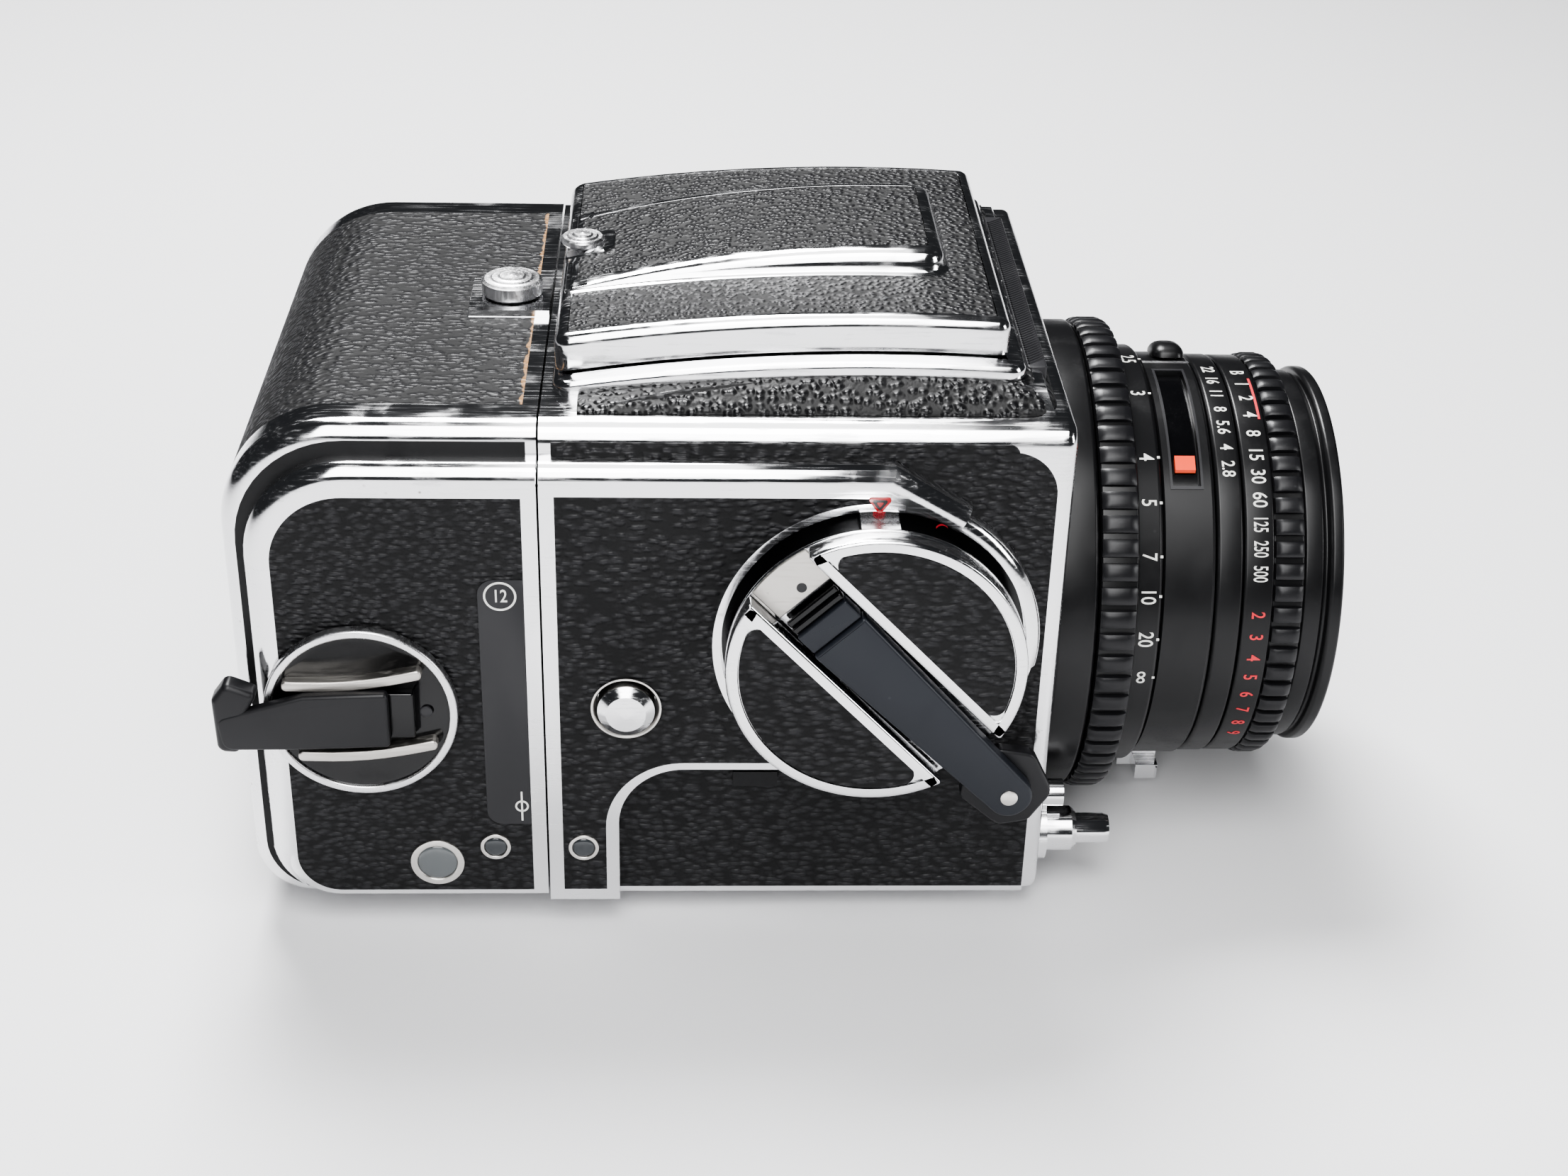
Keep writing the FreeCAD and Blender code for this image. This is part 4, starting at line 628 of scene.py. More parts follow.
lens_ring("rear_barrel", BODY, [(28.0, 72.7), (30.9, 72.7), (30.9, 77.45), (38.3, 77.45), (38.9, 78.3),
                                (38.9, 83.6), (38.2, 84.15), (31.4, 84.15), (31.4, 94.9), (28.0, 94.9)], 0.25)
focus_band = lens_ring("focus_band", "focus_ring",
                       [(31.45, 84.3), (37.9, 84.3), (38.4, 84.6), (38.4, 90.0), (37.9, 90.3), (35.3, 90.3),
                        (34.8, 90.8), (34.8, 94.2), (34.4, 94.65), (31.45, 94.65)])
ribs("focus_ribs", lens_axle, 66, 38.4, 87.25, (2.85, 5.5, 1.1), rib_black, "focus_ring")
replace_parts(focus_band, "focus_ring")
aperture_band = lens_ring("aperture_band", "aperture_ring",
                          [(29.55, 103.35), (32.9, 103.35), (33.3, 103.8), (33.3, 107.2), (32.9, 107.55),
                           (29.55, 107.55)])
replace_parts(aperture_band, "aperture_ring")
speed_band = lens_ring("speed_band", "shutter_ring",
                       [(29.55, 107.7), (32.9, 107.7), (33.2, 108.0), (33.2, 112.2), (32.6, 112.5),
                        (32.7, 117.0), (32.3, 117.3), (29.55, 117.3)])
ribs("speed_ribs", lens_axle, 60, 32.8, 114.85, (2.6, 4.4, 1.0), rib_black, "shutter_ring")
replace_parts(speed_band, "shutter_ring")
nose = lens_ring("lens_nose", BODY, [(24.2, 113.2), (29.4, 113.2), (29.4, 117.45), (30.2, 117.45),
                                     (30.8, 118.0), (30.8, 120.6), (30.3, 121.0), (30.3, 121.5),
                                     (31.0, 121.7), (31.4, 122.2), (31.4, 123.6), (31.1, 123.9),
                                     (28.6, 123.9), (28.2, 123.5), (27.2, 122.2), (26.2, 121.9),
                                     (26.0, 120.8), (24.2, 120.8)])
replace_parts(nose, "front_barrel")
turn("glass_seat", lens_axle, bevelled([(21.6, 119.4), (24.1, 119.4), (24.1, 121.4), (23.2, 121.4)], 0.15),
     gloss_black, BODY, 128)
turn("lens_baffle", lens_axle, bevelled([(14.0, 103.4), (28.0, 103.4), (28.0, 104.4), (14.4, 104.4)], 0.1),
     black_paint, BODY, 96)

# %% [markdown]
# The middle barrel has a window slot that shows the depth pointer. A turned mesh can hold it: within
# the slot's span of angle and length the radius is lowered, and extra columns keep the end walls steep.

# %% The middle barrel with its window
SLOT_START, SLOT_END = math.radians(0.5), math.radians(43.0)
SLOT_RADIUS, SLOT_STATIONS = 32.6, (4, 5)
STEEP = math.radians(0.06)


def middle_barrel():
    columns = [2 * math.pi * i / 180 for i in range(180)]
    columns += [SLOT_START - STEEP, SLOT_START + STEEP, SLOT_END - STEEP, SLOT_END + STEEP]
    columns.sort()
    stations = [(28.0, 94.95), (33.2, 94.95), (33.6, 95.25), (33.6, 96.6), (33.6, 96.62), (33.6, 100.98),
                (33.6, 101.0), (33.6, 102.6), (33.2, 103.1), (28.0, 103.1)]
    verts = []
    for index, (radius, out) in enumerate(stations):
        for angle in columns:
            inside = SLOT_START < angle < SLOT_END and index in SLOT_STATIONS
            verts.append(lens_axle.point(SLOT_RADIUS if inside else radius, angle, out))
    return verts, ring_faces(len(columns), len(stations), closed_stack=True)


middle = make_piece("middle_barrel", *middle_barrel(), anodised, BODY)
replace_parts(middle, "lens_barrel")


# %% Plates and marks on the middle barrel
def on_lens(radius, degrees, forward):
    """A point on a lens ring, the angle counted from the top towards the crank's side."""
    return lens_axle.point(radius, math.radians(degrees), forward)


def barrel_patch(name, radius, angles, forwards, thickness, material, body, steps=12):
    """A thin curved plate on a lens ring."""
    verts = []
    for level in (radius, radius + thickness):
        for forward in forwards:
            for step in range(steps + 1):
                angle = angles[0] + (angles[1] - angles[0]) * step / steps
                verts.append(on_lens(level, angle, forward))
    row = steps + 1
    faces = []
    for base in (0, 2 * row):
        faces += [(base + i, base + i + 1, base + row + i + 1, base + row + i) for i in range(steps)]
    for i in range(steps):
        for low, high in ((0, 2 * row), (row, 3 * row)):
            faces.append((low + i, low + i + 1, high + i + 1, high + i))
    for end in (0, steps):
        faces.append((end, row + end, 3 * row + end, 2 * row + end))
    return make_piece(name, verts, faces, material, body)


barrel_patch("slot_floor", 32.62, (1.0, 42.6), (96.75, 100.85), 0.05, gloss_black, BODY)
for i, (span, ends) in enumerate([((0.0, 43.4), (96.2, 96.6)), ((0.0, 43.4), (101.0, 101.4)),
                                  ((-0.6, 0.4), (96.2, 101.4)), ((43.1, 44.0), (96.2, 101.4))]):
    barrel_patch(f"slot_frame_{i}", 33.58, span, ends, 0.12, plate_grey, BODY)
barrel_patch("index_line", 33.6, (-6.9, -5.4), (95.3, 102.9), 0.06, satin, BODY, 2)

# %% The preview lever
HUMP_FOOT = 34.0


def hump(name, middle, reach, forwards, rise):
    """A low dome on the barrel: rings of a rounded plan, each drawn in as it rises."""
    verts, count, levels = [], 40, 7
    half = (forwards[1] - forwards[0]) / 2
    for level in range(levels):
        lift = math.sin(math.pi / 2 * level / (levels - 1))
        shrink = math.cos(math.pi / 2 * level / (levels - 1)) * 0.75 + 0.25
        for i in range(count):
            bend = 2 * math.pi * i / count
            across = math.copysign(abs(math.cos(bend)) ** 0.6, math.cos(bend)) * reach * shrink
            ahead = math.copysign(abs(math.sin(bend)) ** 0.6, math.sin(bend)) * half * shrink
            verts.append(on_lens(HUMP_FOOT + rise * lift, middle + across, sum(forwards) / 2 + ahead))
    return make_piece(name, verts, ring_faces(count, levels), anodised, "preview_lever")


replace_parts(hump("preview_hump", -14.0, 6.4, (97.2, 102.7), 1.85), "preview_lever")
barrel_patch("red_line", 33.2, (3.5, 21.5), (111.35, 111.75), 0.06, red_paint, "shutter_ring")

# %% [markdown]
# ## Numbers on the rings
# The numbers are painted into the metal. Each is a text object made into a mesh, and then each of its points
# is laid on the ring: across the text becomes an angle, and up the text becomes a place along the lens.

# %% Text wrapped on a ring
def text_mesh(name, words, size, squeeze=0.82):
    curve = bpy.data.curves.new(name, "FONT")
    curve.body, curve.size, curve.extrude = words, size * MM, 0.03 * MM
    curve.align_x, curve.align_y = "CENTER", "CENTER"
    curve.resolution_u = 4
    curve.offset = 0.03 * MM
    thing = linked(name, curve)
    bpy.context.view_layer.update()
    depsgraph = bpy.context.evaluated_depsgraph_get()
    mesh = bpy.data.meshes.new_from_object(thing.evaluated_get(depsgraph))
    bpy.data.objects.remove(thing)
    mesh.transform(Matrix.Diagonal((squeeze, 1.0, 1.0, 1.0)))
    return mesh


def lay_text(name, words, size, place, material, body, squeeze=0.82):
    """Makes text a mesh and moves each point with a rule."""
    mesh = text_mesh(name, words, size, squeeze)
    for vertex in mesh.vertices:
        vertex.co = place(vertex.co)
    mesh.materials.clear()
    mesh.materials.append(material)
    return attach(linked(name, mesh), body)


def ring_text(name, words, size, radius, degrees, forward, material, body, squeeze=0.82):
    def place(point):
        angle = math.radians(degrees) + point.x / (radius * MM)
        return lens_axle.point(radius + 0.03 + point.z / MM, angle, forward + point.y / MM)
    return lay_text(name, words, size, place, material, body, squeeze)


# %% The four scales
SCALE_SETS = []


def even_scale(name, marks, start, step, *ring):
    """Marks one equal step apart, as on rings where each stop or speed is a click."""
    SCALE_SETS.append((name, [(words, start + step * i) for i, words in enumerate(marks.split())], *ring))


FAR_ANGLE, FOCUS_THROW, LENS_REACH = 95.2, 225.5, 0.2


def distance_angle(words):
    """The focusing ring turns with the lens's travel, which goes with one over the distance."""
    return FAR_ANGLE if words == "∞" else FAR_ANGLE - FOCUS_THROW / (float(words) - LENS_REACH)


SCALE_SETS.append(("distance", [(w, distance_angle(w)) for w in "2.5 3 4 5 7 10 20 ∞".split()], 34.8, 92.4,
                   3.3,
                   white_paint, "focus_ring"))
even_scale("aperture", "22 16 11 8 5.6 4 2.8", -1.8, 6.6, 33.3, 105.5, 2.9, white_paint, "aperture_ring")
even_scale("speed", "B 1 2 4 8 15 30 60 125 250 500", -0.2, 6.68, 33.2, 110.1, 3.2, white_paint,
           "shutter_ring")
even_scale("exposure", "2 3 4 5 6 7 8 9", 78.0, 6.4, 33.2, 110.1, 3.0, red_paint, "shutter_ring")
for scale, marks, radius, forward, size, material, body in SCALE_SETS:
    for words, degrees in marks:
        label = words.replace(".", "_").replace("∞", "far")
        squeeze = 0.55 if len(words) == 3 and "." not in words else 0.8
        ring_text(f"{scale}_{label}", words, size, radius, degrees, forward, material, body, squeeze)
        if scale == "distance":
            barrel_patch(f"distance_dot_{label}", 34.8, (degrees - 0.35, degrees + 0.35), (94.15, 94.6), 0.04,
                         white_paint, "focus_ring", 2)
print("numbers on", len(SCALE_SETS), "scales")

# %% [markdown]
# ## The folding lid
# The lid is a pressed shell that follows a long arc from back to front. Its walls have a broad rounded
# edge. Each ring of its outline is lifted by the arc's height at that place, so the whole stack bends.

# %% The arcs that the finder follows
ARC_MIDDLE, ARC_DROP = 49.0, 201.3
LID_ARC, BASE_ARC, SADDLE_ARC = 296.0, 290.2, 288.0
RIDGE_MIDDLE, RIDGE_ARC, RIDGE_TOP = 52.0, 186.0, 98.1
LID_BACK, LID_FRONT, LID_HALF = 1.9, 68.3, 31.8


def arc_height(forward, radius, middle=ARC_MIDDLE, drop=ARC_DROP):
    return math.sqrt(radius ** 2 - (forward - middle) ** 2) - drop


def lid_top(forward):
    return arc_height(forward, LID_ARC)


def ridge_top(forward):
    return max(lid_top(forward), arc_height(forward, RIDGE_ARC, RIDGE_MIDDLE, RIDGE_ARC - RIDGE_TOP))


def plan(half, back, front, back_radius, front_radius, steps=8, lengths=24):
    """An outline seen from above, with points along its sides so that it can bend with an arc."""
    radii = [back_radius, back_radius, front_radius, front_radius]
    points = box_outline(-half, back, half, front, radii, steps)
    dense = []
    for point, after in zip(points, points[1:] + points[:1]):
        dense.append(point)
        if abs(after.y - point.y) > 20:
            dense += [point.lerp(after, k / lengths) for k in range(1, lengths)]
    return dense


# %% The lid's wall and roof
lid_plan = plan(LID_HALF, LID_BACK, LID_FRONT, 2.4, 1.9)
EDGE_ROUND = 1.7
wall_levels = [(1.2, "top", -1.3), (1.2, "foot", 0.3), (1.0, "foot", 0.0), (0.25, "foot", 0.0),
               (0.0, "foot", 0.25),
               (0.0, "foot", 2.4), (0.0, "top", -EDGE_ROUND)]
for step in range(1, 6):
    bend = math.pi / 2 * step / 5
    wall_levels.append((EDGE_ROUND * (1 - math.cos(bend)), "top", EDGE_ROUND * (math.sin(bend) - 1)))
wall_levels += [(1.95, "top", -0.02), (2.0, "top", -0.35), (2.4, "top", -0.5)]


def lid_place(point, level):
    base = lid_top(point.y) if level[0] == "top" else arc_height(point.y, BASE_ARC) + 0.25
    return at(point.x, point.y, base + level[1])


lid_wall = stack("lid_wall", lid_plan, [(distance, (kind, lift)) for distance, kind, lift in wall_levels],
                 lid_place,
                 chrome, "lid", closed=True)


# %% The lid's roof, a curved sheet
def sheet_faces(rows, columns):
    """Faces of a grid in two layers, closed along its rim."""
    wide = columns + 1
    below = (rows + 1) * wide
    faces = []
    for row in range(rows):
        for column in range(columns):
            a = row * wide + column
            quad = (a, a + 1, a + wide + 1, a + wide)
            faces += [quad, tuple(below + v for v in reversed(quad))]
    rim = list(range(columns)) + [row * wide + columns for row in range(rows)]
    rim += [rows * wide + column for column in range(columns, 0, -1)] + [row * wide
                                                                         for row in range(rows, 0, -1)]
    return faces + [(a, b, b + below, a + below) for a, b in zip(rim, rim[1:] + rim[:1])]


def crowned(name, half, back, front, radius, height, thickness, material, body, rows=44, columns=14):
    """A sheet that follows an arc, with rounded corners and a thickness."""
    def half_at(forward):
        near_end = min(forward - back, front - forward)
        cut = radius - math.sqrt(max(0.0, radius ** 2 - (radius - min(near_end, radius)) ** 2))
        return half - cut
    verts = []
    for layer in (1, 0):
        for row in range(rows + 1):
            share = 0.5 - 0.5 * math.cos(math.pi * row / rows)
            forward = back + (front - back) * share
            for column in range(columns + 1):
                side = math.sin(math.pi * (column / columns - 0.5))
                border = min(row, rows - row, column, columns - column) == 0
                lift = thickness * layer - (0.35 * thickness if border and layer else 0)
                verts.append(at(side * half_at(forward), forward, height(forward) + lift))
    return make_piece(name, verts, sheet_faces(rows, columns), material, body, 50)


crowned("lid_roof", LID_HALF - 1.3, LID_BACK + 1.3, LID_FRONT - 1.3, 1.2, lambda f: lid_top(f) - 1.3, 0.85,
        black_paint, "lid")
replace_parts(lid_wall, "finder_lid")

# %% [markdown]
# A raised ridge runs along the lid and sinks into it at the back, because its arc is shorter. Its wall
# rises by a share of the height between the two arcs, so it thins out by itself where they meet.

# %% The ridge and its leather
ridge_plan = plan(15.2, 3.6, 60.2, 0.4, 3.4)
ridge_levels = [(-0.9, 0.0, -0.45), (-0.75, 0.0, -0.02), (-0.3, 0.05, 0.02), (0.0, 0.16, 0.05),
                (0.1, 0.42, 0.05),
                (0.32, 0.64, 0.03), (0.75, 0.83, 0.0), (1.3, 0.94, 0.0), (1.9, 0.99, 0.02), (2.6, 1.0, 0.02),
                (2.7, 1.0, -0.3), (3.3, 1.0, -0.35)]


def ridge_place(point, level):
    share, lift = level
    low = lid_top(point.y)
    return at(point.x, point.y, low + (ridge_top(point.y) - low) * share + lift)


stack("lid_ridge", ridge_plan, [(distance, (share, lift)) for distance, share, lift in ridge_levels],
      ridge_place, chrome, "lid", sharp=45)
crowned("ridge_leather", 12.5, 9.3, 57.5, 0.8, lambda f: ridge_top(f) - 0.3, 0.4, lid_grain, "lid")
crowned("ridge_leather_back", 12.5, 4.6, 9.6, 0.3, lambda f: ridge_top(f) - 0.3, 0.36, lid_grain, "lid",
        rows=6)

# %% The leather field round the ridge
def u_line(half, back, front, radius, steps=10, lengths=24):
    """An open line: forward along one side, round the front, and back along the other."""
    corner = outline([(half, back), (half, front), (-half, front), (-half, back)], [0, radius, radius, 0],
                     steps)
    dense = []
    for point, after in zip(corner, corner[1:]):
        count = lengths if (after - point).length > 12 else 1
        dense += [point.lerp(after, k / count) for k in range(count)]
    return dense + [corner[-1]]


def band(name, outer, inner, place_outer, place_inner, crown, thickness, material, body, rows=6):
    """A band of leather between two lines, with a soft crown and turned-down edges."""
    verts = []
    for layer in (1, 0):
        for row in range(rows + 1):
            share = row / rows
            for a, b in zip(outer, inner):
                low, high = place_outer(a), place_inner(b)
                lift = crown * math.sin(math.pi * share) + thickness * layer
                if layer and row in (0, rows):
                    lift -= thickness * 0.5
                verts.append(low.lerp(high, share) + Vector((0, 0, lift * MM)))
    return make_piece(name, verts, sheet_faces(rows, len(outer) - 1), material, body, sharp=60)


def on_lid(point):
    return at(point.x, point.y, lid_top(point.y) - 0.3)


lid_field = band("lid_leather_field", u_line(29.9, 4.0, 66.2, 0.8), u_line(15.7, 4.0, 60.9, 3.6), on_lid,
                 on_lid, 0.0,
                 0.38, lid_grain, "lid")
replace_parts(lid_field, "lid_leather")

# %% [markdown]
# Under the lid runs a low arched rail, and outside it the saddle is covered with coarse glossy leather that
# wraps round the front corners. The leather lies between two lines at different heights, so it slopes.

# %% The finder's rail, the saddle leather and the ribbed strip
base_plan = plan(34.9, 1.6, 70.7, 3.0, 2.6)
base_levels = [(0.0, ("saddle", -0.3)), (0.0, ("rail", -0.9)), (0.12, ("rail", -0.5)), (0.4, ("rail", -0.15)),
               (0.9, ("rail", 0.0)), (4.2, ("rail", 0.0)), (4.4, ("rail", -0.2)), (4.4, ("saddle", -5.0))]


def base_place(point, level):
    radius = SADDLE_ARC if level[0] == "saddle" else BASE_ARC
    return at(point.x, point.y, arc_height(point.y, radius) + level[1])


finder_rail = stack("finder_rail", base_plan, base_levels, base_place, chrome, BODY, closed=True)
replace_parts(finder_rail, "finder_base")
BAND_TOP = node_top("front_frame")


def saddle_outer(point):
    return at(point.x, point.y, BAND_TOP + 0.05)


def saddle_inner(point):
    return at(point.x, point.y, arc_height(point.y, SADDLE_ARC) - 0.1)


band("saddle_leather", u_line(40.5, 5.5, 75.0, 5.0), u_line(34.95, 5.5, 70.75, 2.6), saddle_outer,
     saddle_inner, 0.35, 0.45, shoulder_grain, BODY, rows=7)


def strip_place(point, height):
    """Across the camera, just in front of the finder's rail."""
    return at(point.x, 72.75 + point.y, height + arc_height(70.7, SADDLE_ARC))


stack("front_strip", box_outline(-30, -1.5, 30, 1.5, 0.4, 3),
      rounded_levels(-1.6, 0.35, 0.25), strip_place, plate_grey, BODY)

# %% [markdown]
# The dark strip in front of the finder is cut with slanted ridges. Equal ridges along a line are another
# job for Geometry Nodes: a mesh line carries the copies.

# %% The tree that sets ridges along a line
def line_points(tree, given):
    line = new_node(tree, "GeometryNodeMeshLine", {"Count": given["Count"], "Offset": given["Step"]})
    return {"Points": line.outputs[0]}


ridge_row = copies_tree("ridges along a line", "Ridge", [("Step", "Vector")], line_points)


def ridges(name, first_end, second_end, width, height, up, step, count, material, body):
    """Equal ridges: the first lies between two points, and each next one is a step further on."""
    along = (second_end - first_end).normalized()
    side = along.cross(up).normalized()
    verts = []
    for end in (first_end, second_end):
        for share in range(7):
            angle = math.pi * share / 6
            verts.append(end + side * math.cos(angle) * width / 2 * MM + up * math.sin(angle) * height * MM)
    faces = [(i, i + 1, i + 8, i + 7) for i in range(6)] + [tuple(range(7)), tuple(range(7, 14)),
                                                            (0, 6, 13, 7)]
    one = make_piece(name + "_one", verts, faces, material, None, 50)
    values = {"Ridge": one, "Count": count, "Step": tuple(step * MM), "Finish": material}
    return copied(name, ridge_row, one, values, body)


strip_height = arc_height(70.7, SADDLE_ARC) + 0.25
UP, OUT_RIGHT, AHEAD = Vector((0, 0, 1)), Vector((-1, 0, 0)), Vector((0, -1, 0))
ridges("strip_ridges", at(-29.0, 71.6, strip_height), at(-27.0, 73.9, strip_height), 0.5, 0.35, UP,
       Vector((0.8, 0, 0)), 71, plate_grey, BODY)

# %% [markdown]
# ## Buttons on top
# Both top buttons are turned, with steps cut into their tops for the thumb. A step is only three more
# points in the profile.

# %% Lid latch and magazine catch
def stepped_button(name, node, radius, low, high, material, body, steps=3):
    box_low, box_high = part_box(node)
    middle = Vector(((box_low.x + box_high.x) / 2, (box_low.y + box_high.y) / 2, under_z))
    axle = Axle(middle, (0, 0, 1), (0, 1, 0))
    profile = [(radius * 0.35, box_low.z / MM - under_z / MM), (radius * 0.35, low), (radius * 0.92, low),
               (radius, low + 0.35), (radius, high - 0.9)]
    for step in range(steps):
        reach = radius * (0.9 - 0.25 * step)
        level = high - 0.6 + 0.2 * step
        profile += [(reach + 0.16, level - 0.12), (reach, level), (reach - radius * 0.16, level - 0.02)]
    profile.append((0.02, high))
    button = turn(name, axle, profile, material, body, 72, closed=False, sharp=24)
    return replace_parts(button, node)


stepped_button("latch_button", "lid_latch", 3.35, 92.9, node_top("lid_latch"), satin,
               "lid_latch")
stepped_button("catch_button", "magazine_catch", 4.75, 84.45, node_top("magazine_catch"),
               satin, "magazine_catch")
stack("latch_pad", outline([(-4.3, 1.0), (4.3, 1.0), (4.3, 7.0), (3.0, 8.6), (-3.0, 8.6), (-4.3, 7.0)],
                           0.5, 3),
      [(0.0, -0.3), (0.0, 0.35), (0.25, 0.6)], lambda p, h: at(p.x, p.y + 1.4, ridge_top(p.y + 1.4) + h),
      chrome, "lid")

# %% [markdown]
# ## The body's side
# A black groove follows the magazine's raised cover between two chrome rails. It narrows as it runs down
# the back. The film crank, windows and label sit on the leather.

# %% A bead swept round the covers, and the black grooves behind them
COVER_TOP, COVER_REAR, COVER_LOW = 76.9, -41.4, 1.9
BEAD_FOOT, LEAST_SHARE, FOOT_POINTS_LEFT_OUT = 45.0, 0.6, 7


def sweep(name, line, profile, material, body, fade=1):
    """Carries a profile of (away from the line, out) along a line, growing over its first points."""
    verts, count = [], len(profile)
    for i, point in enumerate(line):
        along = (line[min(i + 1, len(line) - 1)] - line[max(i - 1, 0)]).normalized()
        away = Vector((-along.y, along.x))
        grown = min(1.0, (i + 1) / fade)
        share = LEAST_SHARE + (1 - LEAST_SHARE) * grown
        verts += [at(-(BEAD_FOOT + (out - BEAD_FOOT) * share), point.x + away.x * reach * grown,
                     point.y + away.y * reach * grown) for reach, out in profile]
    return make_piece(name, verts, ring_faces(count, len(line)), material, body, 40)


# %% The bead's lines
def cover_line():
    """The magazine cover's edge: along the foot, round the back and over the top to the joint."""
    corners = [(-0.2, COVER_TOP), (COVER_REAR, COVER_TOP), (COVER_REAR, COVER_LOW), (-12.0, COVER_LOW)]
    return list(reversed(outline(corners, [0, 14.0, 9.0, 0], 14)))


BEAD = [(1.3, 44.35), (1.3, 45.5), (1.1, 46.2), (0.65, 46.9), (0.0, 47.4), (-0.9, 47.68), (-1.9, 47.74),
        (-2.6, 47.72), (-2.6, 47.0), (-0.4, 46.0), (-0.4, 44.35)]
sweep("magazine_bead", cover_line()[FOOT_POINTS_LEFT_OUT:], BEAD, chrome, BODY, fade=9)
SLANT = math.radians(31.0)
HOOD = 25.0
slant_run = (HOOD - (COVER_TOP - crank_height) * math.cos(SLANT)) / math.sin(SLANT)
slant_start = Vector((crank_forward + slant_run, COVER_TOP))
hood_start = Vector((crank_forward + HOOD * math.sin(SLANT), crank_height + HOOD * math.cos(SLANT)))
body_line = [Vector((0.2, COVER_TOP)), Vector((10, COVER_TOP)), Vector((20, COVER_TOP)), slant_start,
             hood_start]
sweep("body_bead", body_line, BEAD, chrome, BODY)

# %% The black grooves
def side_sheet(name, outer, inner, out, thickness, material, body):
    """A flat sheet between two lines on the camera's side."""
    verts = []
    for level in (out, out + thickness):
        verts += [at(-level, p.x, p.y) for p in outer] + [at(-level, p.x, p.y) for p in inner]
    count = len(outer)
    faces = []
    for i in range(count - 1):
        quad = (i, i + 1, count + i + 1, count + i)
        faces += [quad, tuple(2 * count + v for v in reversed(quad))]
        faces += [(i, i + 1, 2 * count + i + 1, 2 * count + i),
                  (count + i, count + i + 1, 3 * count + i + 1, 3 * count + i)]
    for end in (0, count - 1):
        faces.append((end, count + end, 3 * count + end, 2 * count + end))
    return make_piece(name, verts, faces, material, body)


def groove_edge(rise, back, low):
    corners = [(-1.7, COVER_TOP + rise), (COVER_REAR - back, COVER_TOP + rise),
               (COVER_REAR - back, COVER_LOW - low), (-12.0, COVER_LOW - low)]
    return outline(corners, [0, 14.0 + back, 9.0 + low, 0], 12)


side_sheet("rail_groove", groove_edge(3.7, 2.5, 0.4), groove_edge(-0.2, -0.2, -0.2), 44.3, 0.16, black_paint,
           BODY)
stack("body_groove", box_outline(1.9, 78.0, 69.0, 80.6, [0.1, 0.1, 1.6, 0.1], 4),
      [(0.0, 44.3), (0.0, 44.56)], on_side, side_leather, BODY)

# %% The film crank: ring, dish and bars
film_ring = turn("film_crank_ring", wheel_axle,
                 bevelled([(13.1, 47.85), (14.4, 47.85), (14.4, 49.3), (14.2, 49.6), (13.3, 49.6),
                           (13.1, 49.4)], 0.15), satin, MAGAZINE_CRANK, 128)
turn("film_crank_dish", wheel_axle, [(13.15, 47.9), (13.15, 49.0), (12.6, 49.0), (11.9, 48.6), (0.02, 48.6)],
     gloss_black, MAGAZINE_CRANK, 96, closed=False)
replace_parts(film_ring, "film_crank_wheel")


def on_wheel(point, out):
    """An outline of (toward the back, up) from the film crank's middle."""
    return at(-out, wheel_forward - point.x, wheel_height + point.y)


def bent_bar(low, back, front, sag=1.5, width=1.7):
    """A slim bar that sags in its middle and rises toward the front, as an outline."""
    steps = [k / 8 for k in range(9)]
    middle = [Vector((back + (front - back) * k, low + 2.1 * k - sag * math.sin(math.pi * k) * 0.6))
              for k in steps]
    upper = [p + Vector((0, width / 2)) for p in middle]
    lower = [p - Vector((0, width / 2)) for p in reversed(middle)]
    return outline([tuple(p) for p in upper + lower], [0.75] + [0] * 7 + [0.75, 0.75] + [0] * 7 + [0.75], 4)


stack("film_crank_bar_upper", bent_bar(5.4, 11.2, -9.4), rounded_levels(48.5, 50.6, 0.3), on_wheel,
      worn_silver,
      MAGAZINE_CRANK)
stack("film_crank_bar_lower", bent_bar(-6.9, 9.6, -11.2), rounded_levels(48.5, 50.6, 0.3), on_wheel,
      worn_silver,
      MAGAZINE_CRANK)
turn("film_crank_pin", outward(wheel_middle + Vector((0, -9.6 * MM, 0))),
     [(0.95, 48.5), (0.95, 48.9), (0.6, 49.05), (0.02, 49.0)], plate_grey, MAGAZINE_CRANK, 24, closed=False)
stack("film_crank_block", box_outline(-8.0, -3.9, -3.2, 3.9, 0.4, 3),
      rounded_levels(48.6, 50.1, 0.3), on_wheel, gloss_black, MAGAZINE_CRANK)

# %% The film crank's folding handle
handle_outline = outline([(-4.4, -4.4), (8.0, -4.9), (20.4, -5.0), (21.0, 0.6), (8.0, 4.5), (-4.4, 5.0)],
                         [0.7, 0, 1.8, 1.6, 0, 0.7], 6)
handle = stack("film_handle_plate", handle_outline,
               [(0.2, 50.35), (0.0, 50.55)] + rounded_levels(50.55, 52.0, 0.55)[1:],
               on_wheel, rib_black, "film_handle")
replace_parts(handle, "film_crank_handle")
grip_outline = outline([(14.6, 4.6), (19.2, 6.6), (21.4, 3.6), (21.2, -5.4), (18.0, -5.6), (16.4, 1.2)],
                       [0.9, 1.2, 1.0, 1.4, 1.0, 1.2], 6)
stack("film_handle_grip", grip_outline, [(0.3, 48.5), (0.0, 48.9)] + rounded_levels(48.9, 51.9, 0.9)[1:],
      on_wheel, rib_black, "film_handle")

# %% [markdown]
# ## Windows and label
# The two small signal windows and the counter window are domed glass in pale rings. The label is a dark
# plate with rounded outer corners, a ringed number, and the mark that shows where the film lies.

